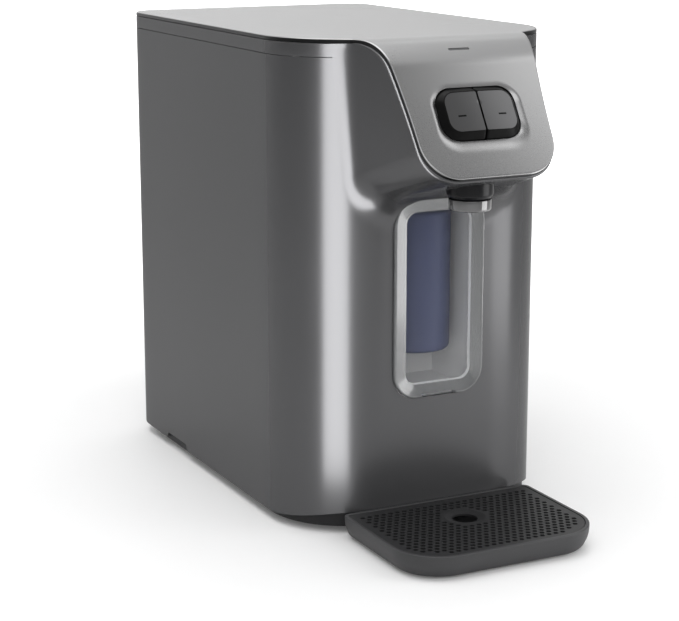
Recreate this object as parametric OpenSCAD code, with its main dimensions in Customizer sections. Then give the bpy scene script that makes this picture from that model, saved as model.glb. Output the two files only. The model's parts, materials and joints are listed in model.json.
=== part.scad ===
// Countertop water purifier: a tall cabinet with a hooded control fascia, a filter cartridge
// behind a clear window, a fixed spout and a drip tray that slots into the plinth.
// The front faces -Y, the table is at z = 0 and x = 0 is the plane of symmetry.

/* [Cabinet] */
// Width across the cabinet's sides
cabinet_w = 229; // [224:1:245]
// Depth from the back to the flat front face
cabinet_d = 354; // [350:1:375]
// Height of the top above the table
cabinet_h = 381; // [377:1:400]
// Radius of the front corners seen from above
front_corner_r = 68; // [55:1:72]
// Radius of the rear corners seen from above
rear_corner_r = 22; // [16:1:28]
// Thickness of the shell and cover walls
wall = 3; // [2.6:0.1:3.4]
// Height of the shell's bottom edge above the table
shell_z = 8; // [7:0.5:9]
// Height of the plinth that shows under the front wall
plinth_h = 20; // [19:0.5:23]
// Radius of the shell's lower rear edge
heel_r = 22; // [14:1:28]
// Length of the grip notch in each side's bottom edge
notch_l = 40; // [30:1:80]
// Height of the grip notch
notch_h = 5; // [4:0.5:8]
// Distance from the top down to the seam under the top band
band_drop = 14; // [12:0.5:17]

/* [Hood] */
// How far the hood's lower edge stands in front of the front face
hood_reach = 84; // [80:1:88]
// Height of the hood from its underside to the top
hood_h = 96; // [91:1:99]
// Lean of the fascia from the vertical
hood_tilt = 32; // [29:1:35]
// Radius of the bend from the top into the fascia
hood_bend_r = 41; // [36:1:42]
// Width of the hood where it leaves the front face
hood_root_w = 140; // [136:1:148]
// Width of the hood at its foremost edge
hood_tip_w = 110; // [104:1:112]
// Width of the hood's front outline at its underside
hood_low_w = 112; // [110:1:118]
// Width of the hood's front outline at the top
hood_high_w = 148; // [142:1:156]
// Radius of the fascia's lower corners
hood_corner_r = 29; // [24:1:36]
// Radius of the hollow between the underside and the front face
hood_fillet_r = 28; // [16:1:28]
// Radius of the fascia's lower lip
hood_lip_r = 3; // [2.5:0.5:6]
// Thickness of the cover plate that bends down into the fascia
fascia_t = 3.4; // [3.2:0.2:4.2]

/* [Keys] */
// Width of one key
key_w = 34.6; // [31:0.2:36]
// Height of a key along the fascia
key_h = 41; // [36:0.5:43]
// Gap between the two keys
key_split = 1; // [0.8:0.1:1.6]
// Radius of the outer corners of the pair of keys
key_corner_r = 10; // [6:0.5:13]
// Height of a key above the fascia
key_proud = 4; // [3:0.5:5]
// Depth of a key below the fascia
key_t = 8; // [7:0.5:9]
// Width of the chamfer round the keys
key_chamfer = 3; // [2:0.5:4]
// How far a key goes in
key_travel = 2.5; // [2:0.1:3]
// Distance from the fascia's lower edge to the middle of the keys
key_rise = 50.5; // [49:0.5:53]
// Radius of a key's stem
key_stem_r = 4; // [3:0.2:4.4]
// Width of the dish round the keys
dish_rim = 7; // [5:0.5:9]
// Depth of the dish at the keys
dish_depth = 3.5; // [2.5:0.5:4.5]
// Length of the indicator lens
lens_l = 17; // [12:1:24]
// Width of the indicator lens
lens_w = 1.8; // [1.4:0.2:3]

/* [Filter] */
// Width of the clear window
window_w = 78; // [74:1:80]
// Distance from the hood's underside down to the window's upper edge
window_drop = 25; // [25:1:31]
// Height of the window's lower edge above the table
window_z = 104; // [100:1:104]
// Radius of the window's corners
window_corner_r = 20; // [14:1:26]
// How far the window stands in front of the front face
window_proud = 3; // [2:0.5:4]
// Width of the window's thick clear rim
window_rim = 11; // [8:0.5:14]
// Radius of the filter cartridge
cartridge_r = 28; // [24:0.5:29]
// Height of the cartridge's bottom above the niche's floor
cartridge_lift = 31; // [27:1:43]
// Radius of the cartridge's neck
neck_r = 12; // [10:0.5:13]
// Distance from the front face to the cartridge's axis
cartridge_setback = 38; // [37:0.5:40]
// Depth of the niche that holds the cartridge
niche_d = 68; // [66:1:74]
// Thickness of the niche's walls
niche_wall = 2; // [1.6:0.2:2.4]

/* [Spout] */
// Distance from the hood's underside down to the nozzle's mouth
spout_drop = 30.5; // [29:0.5:32]
// Distance from the front face to the spout's axis
spout_reach = 45; // [42:1:48]
// Radius of the spout's collar
collar_r = 17.5; // [16.5:0.5:18]
// Radius of the nozzle ring
nozzle_r = 16; // [14:0.5:16.5]
// Radius of the spout's water passage
spout_bore_r = 4; // [3:0.5:5]

/* [Drip tray] */
// Width of the tray
tray_w = 166; // [156:1:176]
// How far the tray stands in front of the front face
tray_reach = 118; // [110:1:126]
// Height of the tray's rim above the table
tray_h = 19; // [18:0.5:21]
// Radius of the tray's front corners
tray_corner_r = 38; // [28:1:46]
// Thickness of the tray's walls
tray_wall = 2.4; // [2:0.2:3]
// How far the tray's walls lean in towards the floor
tray_flare = 6; // [4:0.5:10]
// Thickness of the grille
grille_t = 3; // [2.4:0.2:3.6]
// Width of the grille's holes across their flats
hole_w = 4; // [3:0.2:4.6]
// Distance between the grille's holes
hole_pitch = 6; // [6:0.2:8]
// Radius of the drain hole in the grille
drain_r = 10; // [8:0.5:13]
// Radius of the dish round the drain hole
drain_dish_r = 16; // [15:0.5:20]

/* [Cooling] */
// Radius of the cold tank
tank_r = 55; // [50:1:57]
// Height of the cold tank
tank_h = 150; // [140:1:154]
// Thickness of the tank's sheet
tank_wall = 1.5; // [1:0.1:2]
// Thickness of the foam round the tank
foam_t = 20; // [16:1:22]
// Height of the tank's stand above the base
stand_h = 70; // [66:1:72]
// Side of the cold block
block_w = 50; // [46:1:54]
// Thickness of the cold block
block_t = 18; // [16:1:22]
// Side of the thermoelectric module
module_w = 40; // [36:1:44]
// Side of the heat sink
sink_w = 90; // [84:2:92]
// Depth of the heat sink with its fins
sink_t = 46; // [42:1:50]
// Side of the fan's frame
fan_w = 92; // [90:1:94]
// Depth of the fan's frame
fan_t = 25; // [25:1:28]
// Number of fan blades
fan_blades = 7; // [5:1:9]

/* [Hidden] */
$fn = 64;
graphite = [0.36, 0.36, 0.37];
silver = [0.66, 0.66, 0.67];
charcoal = [0.2, 0.2, 0.21];
black = [0.06, 0.06, 0.07];
pale = [0.85, 0.86, 0.87];
metal = [0.72, 0.73, 0.75];
slate_blue = [0.27, 0.31, 0.45];

// Gaps: seat_gap between fixed pieces, slide_gap round moving ones, shaft_gap on turning shafts
seat_gap = 0.3;
slide_gap = 0.5;
shaft_gap = 0.06;
cut = 1;
facets = 32;

// Planes of the cabinet
back_y = (cabinet_d + tray_reach) / 2;
front_y = back_y - cabinet_d;
tray_y = front_y - tray_reach;
half_w = cabinet_w / 2;
seam_z = cabinet_h - band_drop;

// Hood: the tip is the sharp lower corner of its side view
hood_z = cabinet_h - hood_h;
tip_y = front_y - hood_reach;
hood_root_y = front_y + front_corner_r / 2;
panel_up = [sin(hood_tilt), cos(hood_tilt)];
hood_taper = (hood_root_w - hood_tip_w) / 2 / hood_reach;
bend_turn = 90 - hood_tilt;
bend_run = hood_bend_r * tan(bend_turn / 2);
bend_y = tip_y + tan(hood_tilt) * hood_h + bend_run;
bend_z = cabinet_h - hood_bend_r;

// Base and feet
foot_h = 5;
foot_r = 12;
foot_inset = 32;
foot_plug_r = 4;
base_t = 3;
base_wall = 2.5;
base_rim_z = 30;
floor_z = foot_h + base_t;
base_inset = wall + seat_gap;
base_back_y = back_y - heel_r - seat_gap;
feet_x = half_w - foot_inset;
feet_y = [front_y + front_corner_r - foot_r, base_back_y - foot_inset];
slot_pitch = 14;
slot_w = 5;
slot_l = 60;

// Rear panel, with its opening in the shell
rear_t = 3;
rear_lip = 9;
rear_open_w = cabinet_w - 2 * (rear_corner_r + rear_lip);
rear_open_z = [heel_r + shell_z + rear_lip, seam_z - rear_lip - 6];
rear_y = back_y - wall - seat_gap;
rear_in_y = rear_y - rear_t;
pocket_w = 64;
pocket_edge = rear_open_w / 2 - 3.5;
pocket_x = [pocket_edge - pocket_w, pocket_edge];
pocket_z = [rear_open_z[0] + 4, rear_open_z[0] + 46];
pocket_d = 20;
pocket_wall = 2;
pocket_ear = 6;
pocket_y = rear_in_y - pocket_d;
pocket_mid_z = (pocket_z[0] + pocket_z[1]) / 2;

// Screws
screw_r = 1.5;
screw_head_r = 3;
screw_head_h = 1.8;
screw_gap = 0.15;

// Cooling train, stacked forward from the rear panel
fan_y = rear_in_y - fan_t;
fan_bore_r = fan_w / 2 - 2;
fan_hole = fan_w / 2 - 4.8;
fan_screw_r = 2;
sink_y = fan_y - sink_t;
sink_base = 6;
fin_t = 1.6;
fin_pitch = 6;
module_t = 4;
module_y = sink_y - module_t;
block_y = module_y - block_t;
pad_t = 4;
tank_y = block_y - pad_t - tank_r;
foam_r = tank_r + foam_t;
stand_z = floor_z + stand_h;
foam_floor = 15;
tank_z = stand_z + foam_floor;
tank_top = tank_z + tank_h;
tank_mid = tank_z + tank_h / 2;
tank_lid_t = 3;
foam_lid_t = 18;
foam_top = tank_top + foam_lid_t;
stand_t = 4;
leg_r = 6;
leg_off = (foam_r - leg_r) / sqrt(2) - 2;
rotor_r = fan_bore_r - 1.5;
hub_r = 18;
blade_t = 1.8;
blade_pitch = 38;
shaft_r = 1.5;
spoke_t = 3;
spoke_w = 5;
motor_t = 7;

// Filter: the niche hangs behind the window and the head stands on its ceiling
window_t = wall;
window_top = hood_z - window_drop;
window_h = window_top - window_z;
niche_y = front_y + wall + seat_gap;
niche_back = niche_y + niche_d;
niche_hw = window_w / 2 - 2.5;
niche_floor = window_z - slide_gap;
niche_ceiling = window_top + slide_gap;
flange_rim = 9;
flange_t = 2;
head_z = niche_ceiling + niche_wall + seat_gap;
head_h = 29;
head_r = 22;
cartridge_y = front_y + cartridge_setback;
cartridge_drop = 14;
cartridge_z = niche_floor + cartridge_lift;
cartridge_h = niche_ceiling - cartridge_drop - cartridge_z;
shoulder_h = 8;
lug_reach = 3;
lug_t = 3;
lug_w = 9;
lug_z = head_z + 3;
neck_top = lug_z + lug_t + 4;
notch_half_w = 16;
notch_drop = 8;
snap_w = 20;
snap_t = 2;
snap_l = 8;

// Spout
grille_drop = 0.5;
grille_top = tray_h - grille_drop;
nozzle_z = hood_z - spout_drop;
nozzle_h = 11;
spout_y = front_y - spout_reach;
hood_floor = hood_z + wall;
stem_r = 8;
stem_top = hood_floor + 14;
flange_r = 14;
barb_r = 3;
barb_x = 4;
barb_l = 16;
barb_z = hood_floor + 9;
collar_z = nozzle_z + nozzle_h - 3;

// Keys, measured in the fascia's own frame: x, up the fascia, out of the fascia
key_y = tip_y + key_rise * sin(hood_tilt);
key_z = hood_z + key_rise * cos(hood_tilt);
pair_w = 2 * key_w + key_split;
key_x = (key_w + key_split) / 2;
stem_l = 18;
carrier_n = -key_t - 12;
carrier_t = 2;
carrier_hw = 54;
carrier_v = [-6, 40];
stem_end = -key_t - stem_l;
board_t = 1.6;
board_hw = 40;
board_v = [-6, 24];
switch_h = 3.5;
board_n = stem_end - key_travel - 0.4 - switch_h - board_t;
post_at = [[-34, 0], [34, 0], [-34, 20], [34, 20]];
post_r = 2.5;
boss_at = [[-50, 0], [50, 0], [-30, 36], [30, 36]];
boss_r = 4;
dish_t = 7;
dish_wall = 3;
spring_r = 6.2;
spring_wire = 0.5;
spring_turns = 4;
spring_sides = 6;
spring_rings = 8;
lens_turn = 36;
lens_t = 4;

// Drip tray
tray_back = front_y - slide_gap;
tray_z = 1.5;
tray_rear_r = 6;
tray_skirt = 9;
rim_w = 3;
ledge_w = 3;
tongue_w = 18;
tongue_x = 50;
tongue_l = 18;
tongue_z = [floor_z + 2, plinth_h - 3.5];
grille_edge = 4;
finger_l = 26;

// Valves and hoses
valve_size = [30, 36, 22];
coil_r = 12;
coil_h = 28;
port_r = 4;
port_l = 9;
port_rise = 12;
hose_r = 3.2;
hose_sides = 8;
hose_cuts = 2;
hose_gap = 0.2;
bracket_t = 2;
bracket_hw = 50;
bracket_y = [tank_y - 72, tank_y - 5];
valve_x = 28;
valve_y = tank_y - 38;
valve_z = foam_top + bracket_t;
outlet_z = valve_z + port_rise;
inlet_valve_at = [half_w - 29.5, base_back_y - 95, floor_z];
lid_port_x = 25;
lid_port_y = tank_y + 40;
lid_port_top = foam_top + 14;
head_port_z = head_z + 16;
head_port_y = cartridge_y + head_r + port_l;
head_ports = [-14, 0, 14];
fitting_x = pocket_x[1] - pocket_w / 4;
fitting_r = 8;
fitting_bore_r = 3.2;
fitting_bore_l = 18;
fitting_in = 12;
gland_x = pocket_x[0] + pocket_w / 4;
gland_r = 7;
gland_bore_r = 3.6;
supply_size = [56, 96, 44];

function unit(v) = v / norm(v);

// The three view directions that a flat outline can be carried along
module along_x(w) { rotate([90, 0, 90]) translate([0, 0, -w / 2]) linear_extrude(w) children(); }
module along_y(y0, y1) { translate([0, y1, 0]) rotate([90, 0, 0]) linear_extrude(y1 - y0) children(); }
module along_z(z0, z1) { translate([0, 0, z0]) linear_extrude(z1 - z0) children(); }

// A cylinder from one y to another, for shafts, stubs and bores along the depth
module rod_y(x, z, y0, y1, r) { translate([x, y1, z]) rotate([90, 0, 0]) cylinder(h=y1 - y0, r=r); }

// A box given by its ranges
module span(x, y, z) {
    translate([x[0], y[0], z[0]]) cube([x[1] - x[0], y[1] - y[0], z[1] - z[0]]);
}

// The area between a sharp corner p and the arc of radius r that rounds it;
// a and b are the unit directions of the corner's two edges
module corner_gap(p, a, b, r) {
    half = acos(a * b) / 2;
    run = r / tan(half);
    centre = p + unit(a + b) * r / sin(half);
    difference() {
        polygon([p - (a + b) * cut / 2, p + a * run, centre, p + b * run]);
        translate(centre) circle(r=r);
    }
}

// A rectangle with round corners, about the origin
module round_rect(w, h, r) {
    difference() {
        square([w, h], center=true);
        for (sx = [-1, 1], sy = [-1, 1])
            corner_gap([sx * w / 2, sy * h / 2], [-sx, 0], [0, -sy], r);
    }
}

// The cabinet seen from above, drawn in by inset
module plan_outline(inset) {
    hw = half_w - inset;
    front = front_y + inset;
    back = back_y - inset;
    difference() {
        translate([-hw, front]) square([2 * hw, back - front]);
        for (s = [-1, 1]) {
            corner_gap([s * hw, front], [-s, 0], [0, 1], front_corner_r - inset);
            corner_gap([s * hw, back], [-s, 0], [0, -1], rear_corner_r - inset);
        }
    }
}

// The hood seen from above: it narrows towards its tip
module hood_plan(inset) {
    root_y = hood_root_y + cut;
    end_y = tip_y - cut;
    root = hood_root_w / 2 - inset + hood_taper * (root_y - front_y);
    tip = hood_tip_w / 2 - inset - hood_taper * cut;
    polygon([[-root, root_y], [root, root_y], [tip, end_y], [-tip, end_y]]);
}

// The hood seen from the front: round lower corners outside, plain bevelled ones inside
module hood_front(inset) {
    low = hood_low_w / 2 - inset;
    bottom = hood_z + inset;
    edge = unit([hood_high_w - hood_low_w, 2 * hood_h]);
    r = hood_corner_r - inset;
    turn = 90 - asin(edge[0]);
    centre = [low - r * (1 - edge[0]) / edge[1], bottom + r];
    top = cabinet_h + cut;
    above = [low + (top - bottom) * edge[0] / edge[1], top];
    bevel = [for (i = [0:3]) centre + r * [cos(turn * i / 3 - 90), sin(turn * i / 3 - 90)]];
    half = concat([above], [for (i = [3:-1:0]) bevel[i]]);
    mirrored = [for (i = [len(half) - 1:-1:0]) [-half[i][0], half[i][1]]];
    if (inset > 0) polygon(concat(half, mirrored));
    else difference() {
        polygon([[-low, bottom], [low, bottom], above, [-above[0], top]]);
        for (s = [-1, 1])
            corner_gap([s * low, bottom], [-s, 0], [s * edge[0], edge[1]], r);
    }
}

// The rounded lower rear edge seen from the side, as y and z
module heel_gap(inset) {
    centre = [back_y - heel_r, shell_z + heel_r];
    difference() {
        translate([centre[0], shell_z - 2 * cut]) square([heel_r + cut, heel_r + 2 * cut]);
        translate(centre) circle(r=heel_r - inset);
    }
}

// The hood seen from the side, as y and z
module hood_side(inset) {
    top = cabinet_h - inset;
    low = hood_z + inset;
    lean = tan(hood_tilt);
    tip = tip_y + inset / cos(hood_tilt) + lean * inset;
    end = tip + lean * (top - low);
    difference() {
        polygon([[hood_root_y, low], [hood_root_y, top], [end, top], [tip, low]]);
        corner_gap([end, top], [1, 0], -panel_up, hood_bend_r - inset);
        corner_gap([tip, low], [1, 0], panel_up, hood_lip_r - inset / 2);
    }
}

// The cabinet's upright part, or its inner offset, open below
module cabinet(inset) {
    open = shell_z - (inset > 0 ? cut : 0);
    difference() {
        along_z(open, cabinet_h - inset) plan_outline(inset);
        along_x(cabinet_w + cut) heel_gap(inset);
    }
}

// The hood, or its inner offset
module hood(inset) {
    intersection() {
        along_x(cabinet_w) hood_side(inset);
        along_z(hood_z - cut, cabinet_h + cut) hood_plan(inset);
        along_y(tip_y - 2 * cut, front_y + front_corner_r) hood_front(inset);
    }
}

// The hollow between the hood's underside and the front face
module hood_fillet() {
    along_x(hood_low_w - 2 * hood_corner_r) corner_gap([front_y, hood_z], [-1, 0], [0, -1], hood_fillet_r);
}

module outer_form() {
    cabinet(0);
    hood(0);
    hood_fillet();
}

module inner_form() {
    cabinet(wall);
    hood(wall);
}

// What lies under the bent cover plate, seen from the side; inset is measured from the outside
module under_cover(inset) {
    lean = tan(hood_tilt);
    top = cabinet_h - inset;
    low = hood_z - hood_lip_r;
    edge = tip_y + inset / cos(hood_tilt);
    bend = [edge + lean * (top - hood_z), top];
    difference() {
        polygon([[back_y + cut, -cut], [back_y + cut, top], bend, [edge + lean * (low - hood_z), low],
            [front_y - cut, hood_z - hood_fillet_r - 2 * cut], [front_y - cut, -cut]]);
        corner_gap(bend, [1, 0], -panel_up, hood_bend_r - inset);
    }
}

// Puts its children in the fascia's frame, at the middle of the keys
module on_fascia() { translate([0, key_y, key_z]) rotate([90 - hood_tilt, 0, 0]) children(); }

// Puts its children on the bend above the fascia, where the indicator lens is
module on_bend() {
    translate([0, bend_y, bend_z]) rotate([lens_turn, 0, 0]) translate([0, 0, hood_bend_r]) children();
}

module window_outline(grow) {
    translate([0, window_z + window_h / 2])
        round_rect(window_w + 2 * grow, window_h + 2 * grow, window_corner_r + grow);
}

module body_shell() {
    color(graphite) difference() {
        union() {
            difference() {
                intersection() {
                    outer_form();
                    along_x(cabinet_w + 2 * cut) under_cover(fascia_t + seat_gap);
                }
                inner_form();
                along_z(seam_z, cabinet_h + cut) plan_outline(-seat_gap);
            }
            shell_posts();
        }
        along_y(front_y - cut, front_y + wall + cut) window_outline(slide_gap);
        finger_notch();
        translate([0, spout_y, hood_z - cut]) cylinder(h=wall + 2 * cut, r=stem_r + seat_gap);
        span([-rear_open_w / 2, rear_open_w / 2], [back_y - wall - cut, back_y + cut], rear_open_z);
        rear_screw_holes(back_y - wall - cut, back_y + cut, screw_r + screw_gap);
        rear_screw_holes(back_y - screw_head_h - seat_gap, back_y + cut, screw_head_r + seat_gap);
        along_x(cabinet_w + 2 * cut) plinth_rise();
        along_x(cabinet_w + 2 * cut) grip_notch();
        base_screw_holes(floor_z - cut, floor_z + base_post_h / 2, screw_r + screw_gap);
    }
}

// The shell's lower edge rises over the plinth at the front
module plinth_rise() {
    rise_y = front_y + front_corner_r / 2;
    run = 1.5 * (plinth_h - shell_z);
    polygon([[front_y - cut, 0], [rise_y + run, 0], [rise_y + run, shell_z], [rise_y, plinth_h],
        [front_y - cut, plinth_h]]);
}

// Shallow notch in each side's bottom edge
module grip_notch() {
    mid = feet_y[1] - foot_r - notch_l / 2 - 8;
    hw = notch_l / 2;
    polygon([[mid - hw - notch_h, shell_z - cut], [mid + hw + notch_h, shell_z - cut],
        [mid + hw, shell_z + notch_h], [mid - hw, shell_z + notch_h]]);
}

// Room for a fingertip under the window's lower edge
module finger_notch() {
    along_y(front_y - cut, front_y + wall + cut) translate([0, window_z - notch_drop / 2 + 1])
        round_rect(2 * notch_half_w, notch_drop + 2, notch_drop / 2);
}

// Posts inside the shell that the base is screwed to
base_post_r = 5;
base_post_h = 30;
base_post_y = [front_y + front_corner_r + 20, base_back_y - 16];
base_post_x = half_w - base_inset - base_wall - base_post_r - seat_gap;
module shell_posts() {
    for (s = [-1, 1], y = base_post_y) {
        translate([s * base_post_x, y, floor_z]) cylinder(h=base_post_h, r=base_post_r);
        rib = [base_post_x, half_w - wall / 2];
        span(s > 0 ? rib : -[rib[1], rib[0]], [y - 1, y + 1], [base_rim_z + seat_gap, floor_z + base_post_h]);
    }
}

module base_screw_holes(z0, z1, r) {
    for (s = [-1, 1], y = base_post_y) translate([s * base_post_x, y, z0]) cylinder(h=z1 - z0, r=r);
}

module rear_screw_holes(y0, y1, r) {
    inset = rear_lip / 2;
    for (s = [-1, 1], z = [rear_open_z[0] - inset, (rear_open_z[0] + rear_open_z[1]) / 2,
            rear_open_z[1] + inset])
        rod_y(s * (rear_open_w / 2 + inset), z, y0, y1, r);
}

module top_cover() {
    color(silver) {
        difference() {
            union() {
                difference() {
                    outer_form();
                    along_x(cabinet_w + 2 * cut) under_cover(fascia_t);
                }
                on_fascia() translate([0, 0, -dish_t]) linear_extrude(dish_t - fascia_t / 2)
                    dish_outline(dish_wall);
            }
            on_fascia() key_well();
            on_bend() cube([lens_l + 2 * seat_gap, lens_w + 2 * seat_gap, 4 * fascia_t], center=true);
        }
        on_fascia() cover_bosses();
    }
}

// The dish round the keys and the opening at its bottom
module key_well() {
    translate([0, 0, -dish_t - cut]) linear_extrude(dish_t + 2 * cut) pair_outline(slide_gap);
    hull() {
        translate([0, 0, cut / 4]) linear_extrude(cut) dish_outline(0, $fn=facets);
        translate([0, 0, -dish_depth]) linear_extrude(cut / 4) pair_outline(slide_gap + cut, $fn=facets);
    }
}

// The band that closes the cabinet's walls under the cover
module top_band() {
    color(graphite) along_z(seam_z + seat_gap, cabinet_h - fascia_t - seat_gap) difference() {
        plan_outline(0);
        plan_outline(wall);
    }
}

// Screw bosses behind the fascia that the key carrier hangs on
module cover_bosses() {
    for (p = boss_at) translate([p[0], p[1], carrier_n + carrier_t]) difference() {
        cylinder(h=-carrier_n - carrier_t - fascia_t / 2, r=boss_r);
        translate([0, 0, -cut]) cylinder(h=8, r=screw_r + screw_gap);
    }
}

module pair_outline(grow) {
    round_rect(pair_w + 2 * grow, key_h + 2 * grow, key_corner_r + grow);
}

module dish_outline(grow) { pair_outline(slide_gap + dish_rim + grow); }

// One key's outline: its half of the pair, clear of the split
module key_outline(side, inset) {
    intersection() {
        pair_outline(-inset);
        translate([side * (key_split / 2 + inset / 3 + key_w), 0]) square([2 * key_w, 2 * key_h], center=true);
    }
}

module key(side) {
    hull() {
        translate([0, 0, -key_t]) linear_extrude(key_t + key_proud - key_chamfer)
            key_outline(side, 0, $fn=facets);
        translate([0, 0, key_proud - cut / 4]) linear_extrude(cut / 4) key_outline(side, key_chamfer, $fn=facets);
    }
    translate([side * key_x, 0, stem_end]) cylinder(h=stem_l + cut, r=key_stem_r);
}

module left_key() { color(black) on_fascia() key(-1); }
module right_key() { color(black) on_fascia() key(1); }

module key_carrier() {
    color(charcoal) on_fascia() {
        difference() {
            translate([-carrier_hw, carrier_v[0], carrier_n])
                cube([2 * carrier_hw, carrier_v[1] - carrier_v[0], carrier_t]);
            for (s = [-1, 1]) translate([s * key_x, 0, carrier_n - cut])
                cylinder(h=carrier_t + 2 * cut, r=key_stem_r + seat_gap);
            for (p = boss_at) translate([p[0], p[1], carrier_n - cut])
                cylinder(h=carrier_t + 2 * cut, r=screw_r + screw_gap);
        }
        for (p = post_at) translate([p[0], p[1], board_n + board_t])
            cylinder(h=carrier_n - board_n - board_t + cut / 2, r=post_r);
    }
}

module carrier_screws() {
    color(metal) on_fascia() for (p = boss_at) translate([p[0], p[1], carrier_n])
        screw_up(carrier_t + 6);
}

// A screw with its head under z = 0 and its shank upwards
module screw_up(l) {
    translate([0, 0, -screw_head_h]) cylinder(h=screw_head_h, r=screw_head_r);
    translate([0, 0, -cut / 2]) cylinder(h=l + cut / 2, r=screw_r);
}

// Coil between the carrier and a key, as one unbroken wire
module key_spring(side) {
    low = carrier_n + carrier_t + spring_wire + 0.1;
    high = -key_t - spring_wire - 0.1;
    steps = spring_turns * spring_rings;
    path = [for (i = [0:steps]) let (a = 360 * i / spring_rings)
        [side * key_x + spring_r * cos(a), spring_r * sin(a), low + (high - low) * i / steps]];
    tube(path, spring_wire, spring_sides);
}

module left_key_spring() { color(metal) on_fascia() key_spring(-1); }
module right_key_spring() { color(metal) on_fascia() key_spring(1); }

module control_board() {
    color([0.1, 0.35, 0.2]) on_fascia() translate([-board_hw, board_v[0], board_n])
        cube([2 * board_hw, board_v[1] - board_v[0], board_t]);
}

module key_switches() {
    color(black) on_fascia() for (s = [-1, 1]) translate([s * key_x, 0, board_n + board_t]) {
        translate([-3, -3, 0]) cube([6, 6, switch_h - cut]);
        cylinder(h=switch_h, r=1.75);
    }
}

module indicator_lens() {
    color(pale) on_bend() translate([0, 0, -lens_t / 2]) cube([lens_l, lens_w, lens_t - 2 * seat_gap], center=true);
}

module rear_panel() {
    lip = rear_lip - seat_gap;
    x = [-rear_open_w / 2 - lip, rear_open_w / 2 + lip];
    z = [rear_open_z[0] - lip, rear_open_z[1] + lip];
    color(charcoal) difference() {
        span(x, [rear_in_y, rear_y], z);
        pocket_block(pocket_wall + seat_gap, rear_in_y - cut, rear_y + cut);
        for (sx = [-1, 1], sz = [-1, 1])
            rod_y(sx * fan_hole, tank_mid + sz * fan_hole, rear_in_y - cut, rear_y + cut, fan_screw_r + screw_gap);
        rear_screw_holes(rear_in_y - cut, rear_y + cut, screw_r + screw_gap);
        fan_vents();
        top_vents();
    }
}

module pocket_block(grow, y0, y1) {
    span([pocket_x[0] - grow, pocket_x[1] + grow], [y0, y1], [pocket_z[0] - grow, pocket_z[1] + grow]);
}

// The box let into the rear panel, whose ears bear on the inside of the panel
module connector_box() {
    ear = pocket_wall + pocket_ear;
    ear_y = rear_in_y - seat_gap;
    color(charcoal) difference() {
        union() {
            pocket_block(pocket_wall, pocket_y - pocket_wall, rear_y);
            span([pocket_x[0] - ear, pocket_x[1] + ear], [ear_y - pocket_wall, ear_y],
                [pocket_z[0] + pocket_wall, pocket_z[1] - pocket_wall]);
        }
        pocket_block(0, pocket_y, rear_y + cut);
        rod_y(fitting_x, pocket_mid_z, pocket_y - 2 * pocket_wall, pocket_y + cut, fitting_r - 2 + seat_gap);
        rod_y(gland_x, pocket_mid_z, pocket_y - 2 * pocket_wall, pocket_y + cut, gland_r - 2 + seat_gap);
    }
}

// Slots across the fan's bore, each as long as the bore is wide there
vent_w = 5;
vent_pitch = 9;
module fan_vents() {
    n = floor((fan_bore_r - vent_w) / vent_pitch);
    for (i = [-n:n]) let (z = i * vent_pitch, hw = sqrt(pow(fan_bore_r - 2, 2) - pow(abs(z) + vent_w / 2, 2)))
        span([-hw, hw], [rear_in_y - cut, rear_y + cut], [tank_mid + z - vent_w / 2, tank_mid + z + vent_w / 2]);
}

// A block of slots near the top lets warm air out
vent_rows = 6;
vent_half_l = 50;
module top_vents() {
    top = rear_open_z[1] - 14;
    for (i = [0:vent_rows - 1])
        span([-vent_half_l, vent_half_l], [rear_in_y - cut, rear_y + cut],
            [top - i * vent_pitch - vent_w, top - i * vent_pitch]);
}

module rear_screws() {
    color(metal) {
        rear_screw_holes(back_y - screw_head_h, back_y - 0.1, screw_head_r);
        rear_screw_holes(rear_in_y - 4, back_y - screw_head_h + 0.1, screw_r);
    }
}

module base_outline(inset) {
    intersection() {
        plan_outline(base_inset + inset);
        translate([-half_w, front_y]) square([cabinet_w, base_back_y - inset - front_y]);
    }
}

module base_plate() {
    color(charcoal) difference() {
        along_z(foot_h, base_rim_z) base_outline(0);
        along_z(floor_z, base_rim_z + cut) base_outline(base_wall);
        for (s = [-1, 1])
            span([s * tongue_x - tongue_w / 2 - slide_gap, s * tongue_x + tongue_w / 2 + slide_gap],
                [front_y, front_y + tongue_l + 8],
                [tongue_z[0] - slide_gap, tongue_z[1] + slide_gap]);
        for (s = [-1, 1], y = feet_y) translate([s * feet_x, y, foot_h - cut])
            cylinder(h=base_t + 2 * cut, r=foot_plug_r + 0.2);
        base_screw_holes(foot_h - cut, floor_z + cut, screw_r + screw_gap);
        base_screw_holes(foot_h - cut, foot_h + screw_head_h + seat_gap, screw_head_r + seat_gap);
        floor_slots();
    }
}

// Air slots through the floor, in front of the power supply
module floor_slots() {
    for (i = [-2:2]) translate([i * slot_pitch - slot_w / 2, front_y + front_corner_r - slot_l / 2, foot_h - cut])
        cube([slot_w, slot_l, base_t + 2 * cut]);
}

module base_screws() {
    color(metal) for (s = [-1, 1], y = base_post_y)
        translate([s * base_post_x, y, foot_h + screw_head_h + 0.1]) screw_up(base_t + 8);
}

module rubber_feet() {
    color(black) for (s = [-1, 1], y = feet_y) translate([s * feet_x, y, 0]) {
        cylinder(h=foot_h, r=foot_r);
        cylinder(h=foot_h + base_t, r=foot_plug_r);
    }
}

module spout_stem() {
    color(charcoal) difference() {
        union() {
            translate([0, spout_y, nozzle_z + 4]) cylinder(h=stem_top - nozzle_z - 4, r=stem_r);
            translate([0, spout_y, hood_floor]) cylinder(h=wall, r=flange_r);
            for (s = [-1, 1]) rod_y(s * barb_x, barb_z, spout_y + stem_r / 2, spout_y + barb_l, barb_r);
        }
        translate([0, spout_y, nozzle_z]) cylinder(h=barb_z - barb_r - 2 - nozzle_z, r=spout_bore_r);
    }
}

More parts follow.
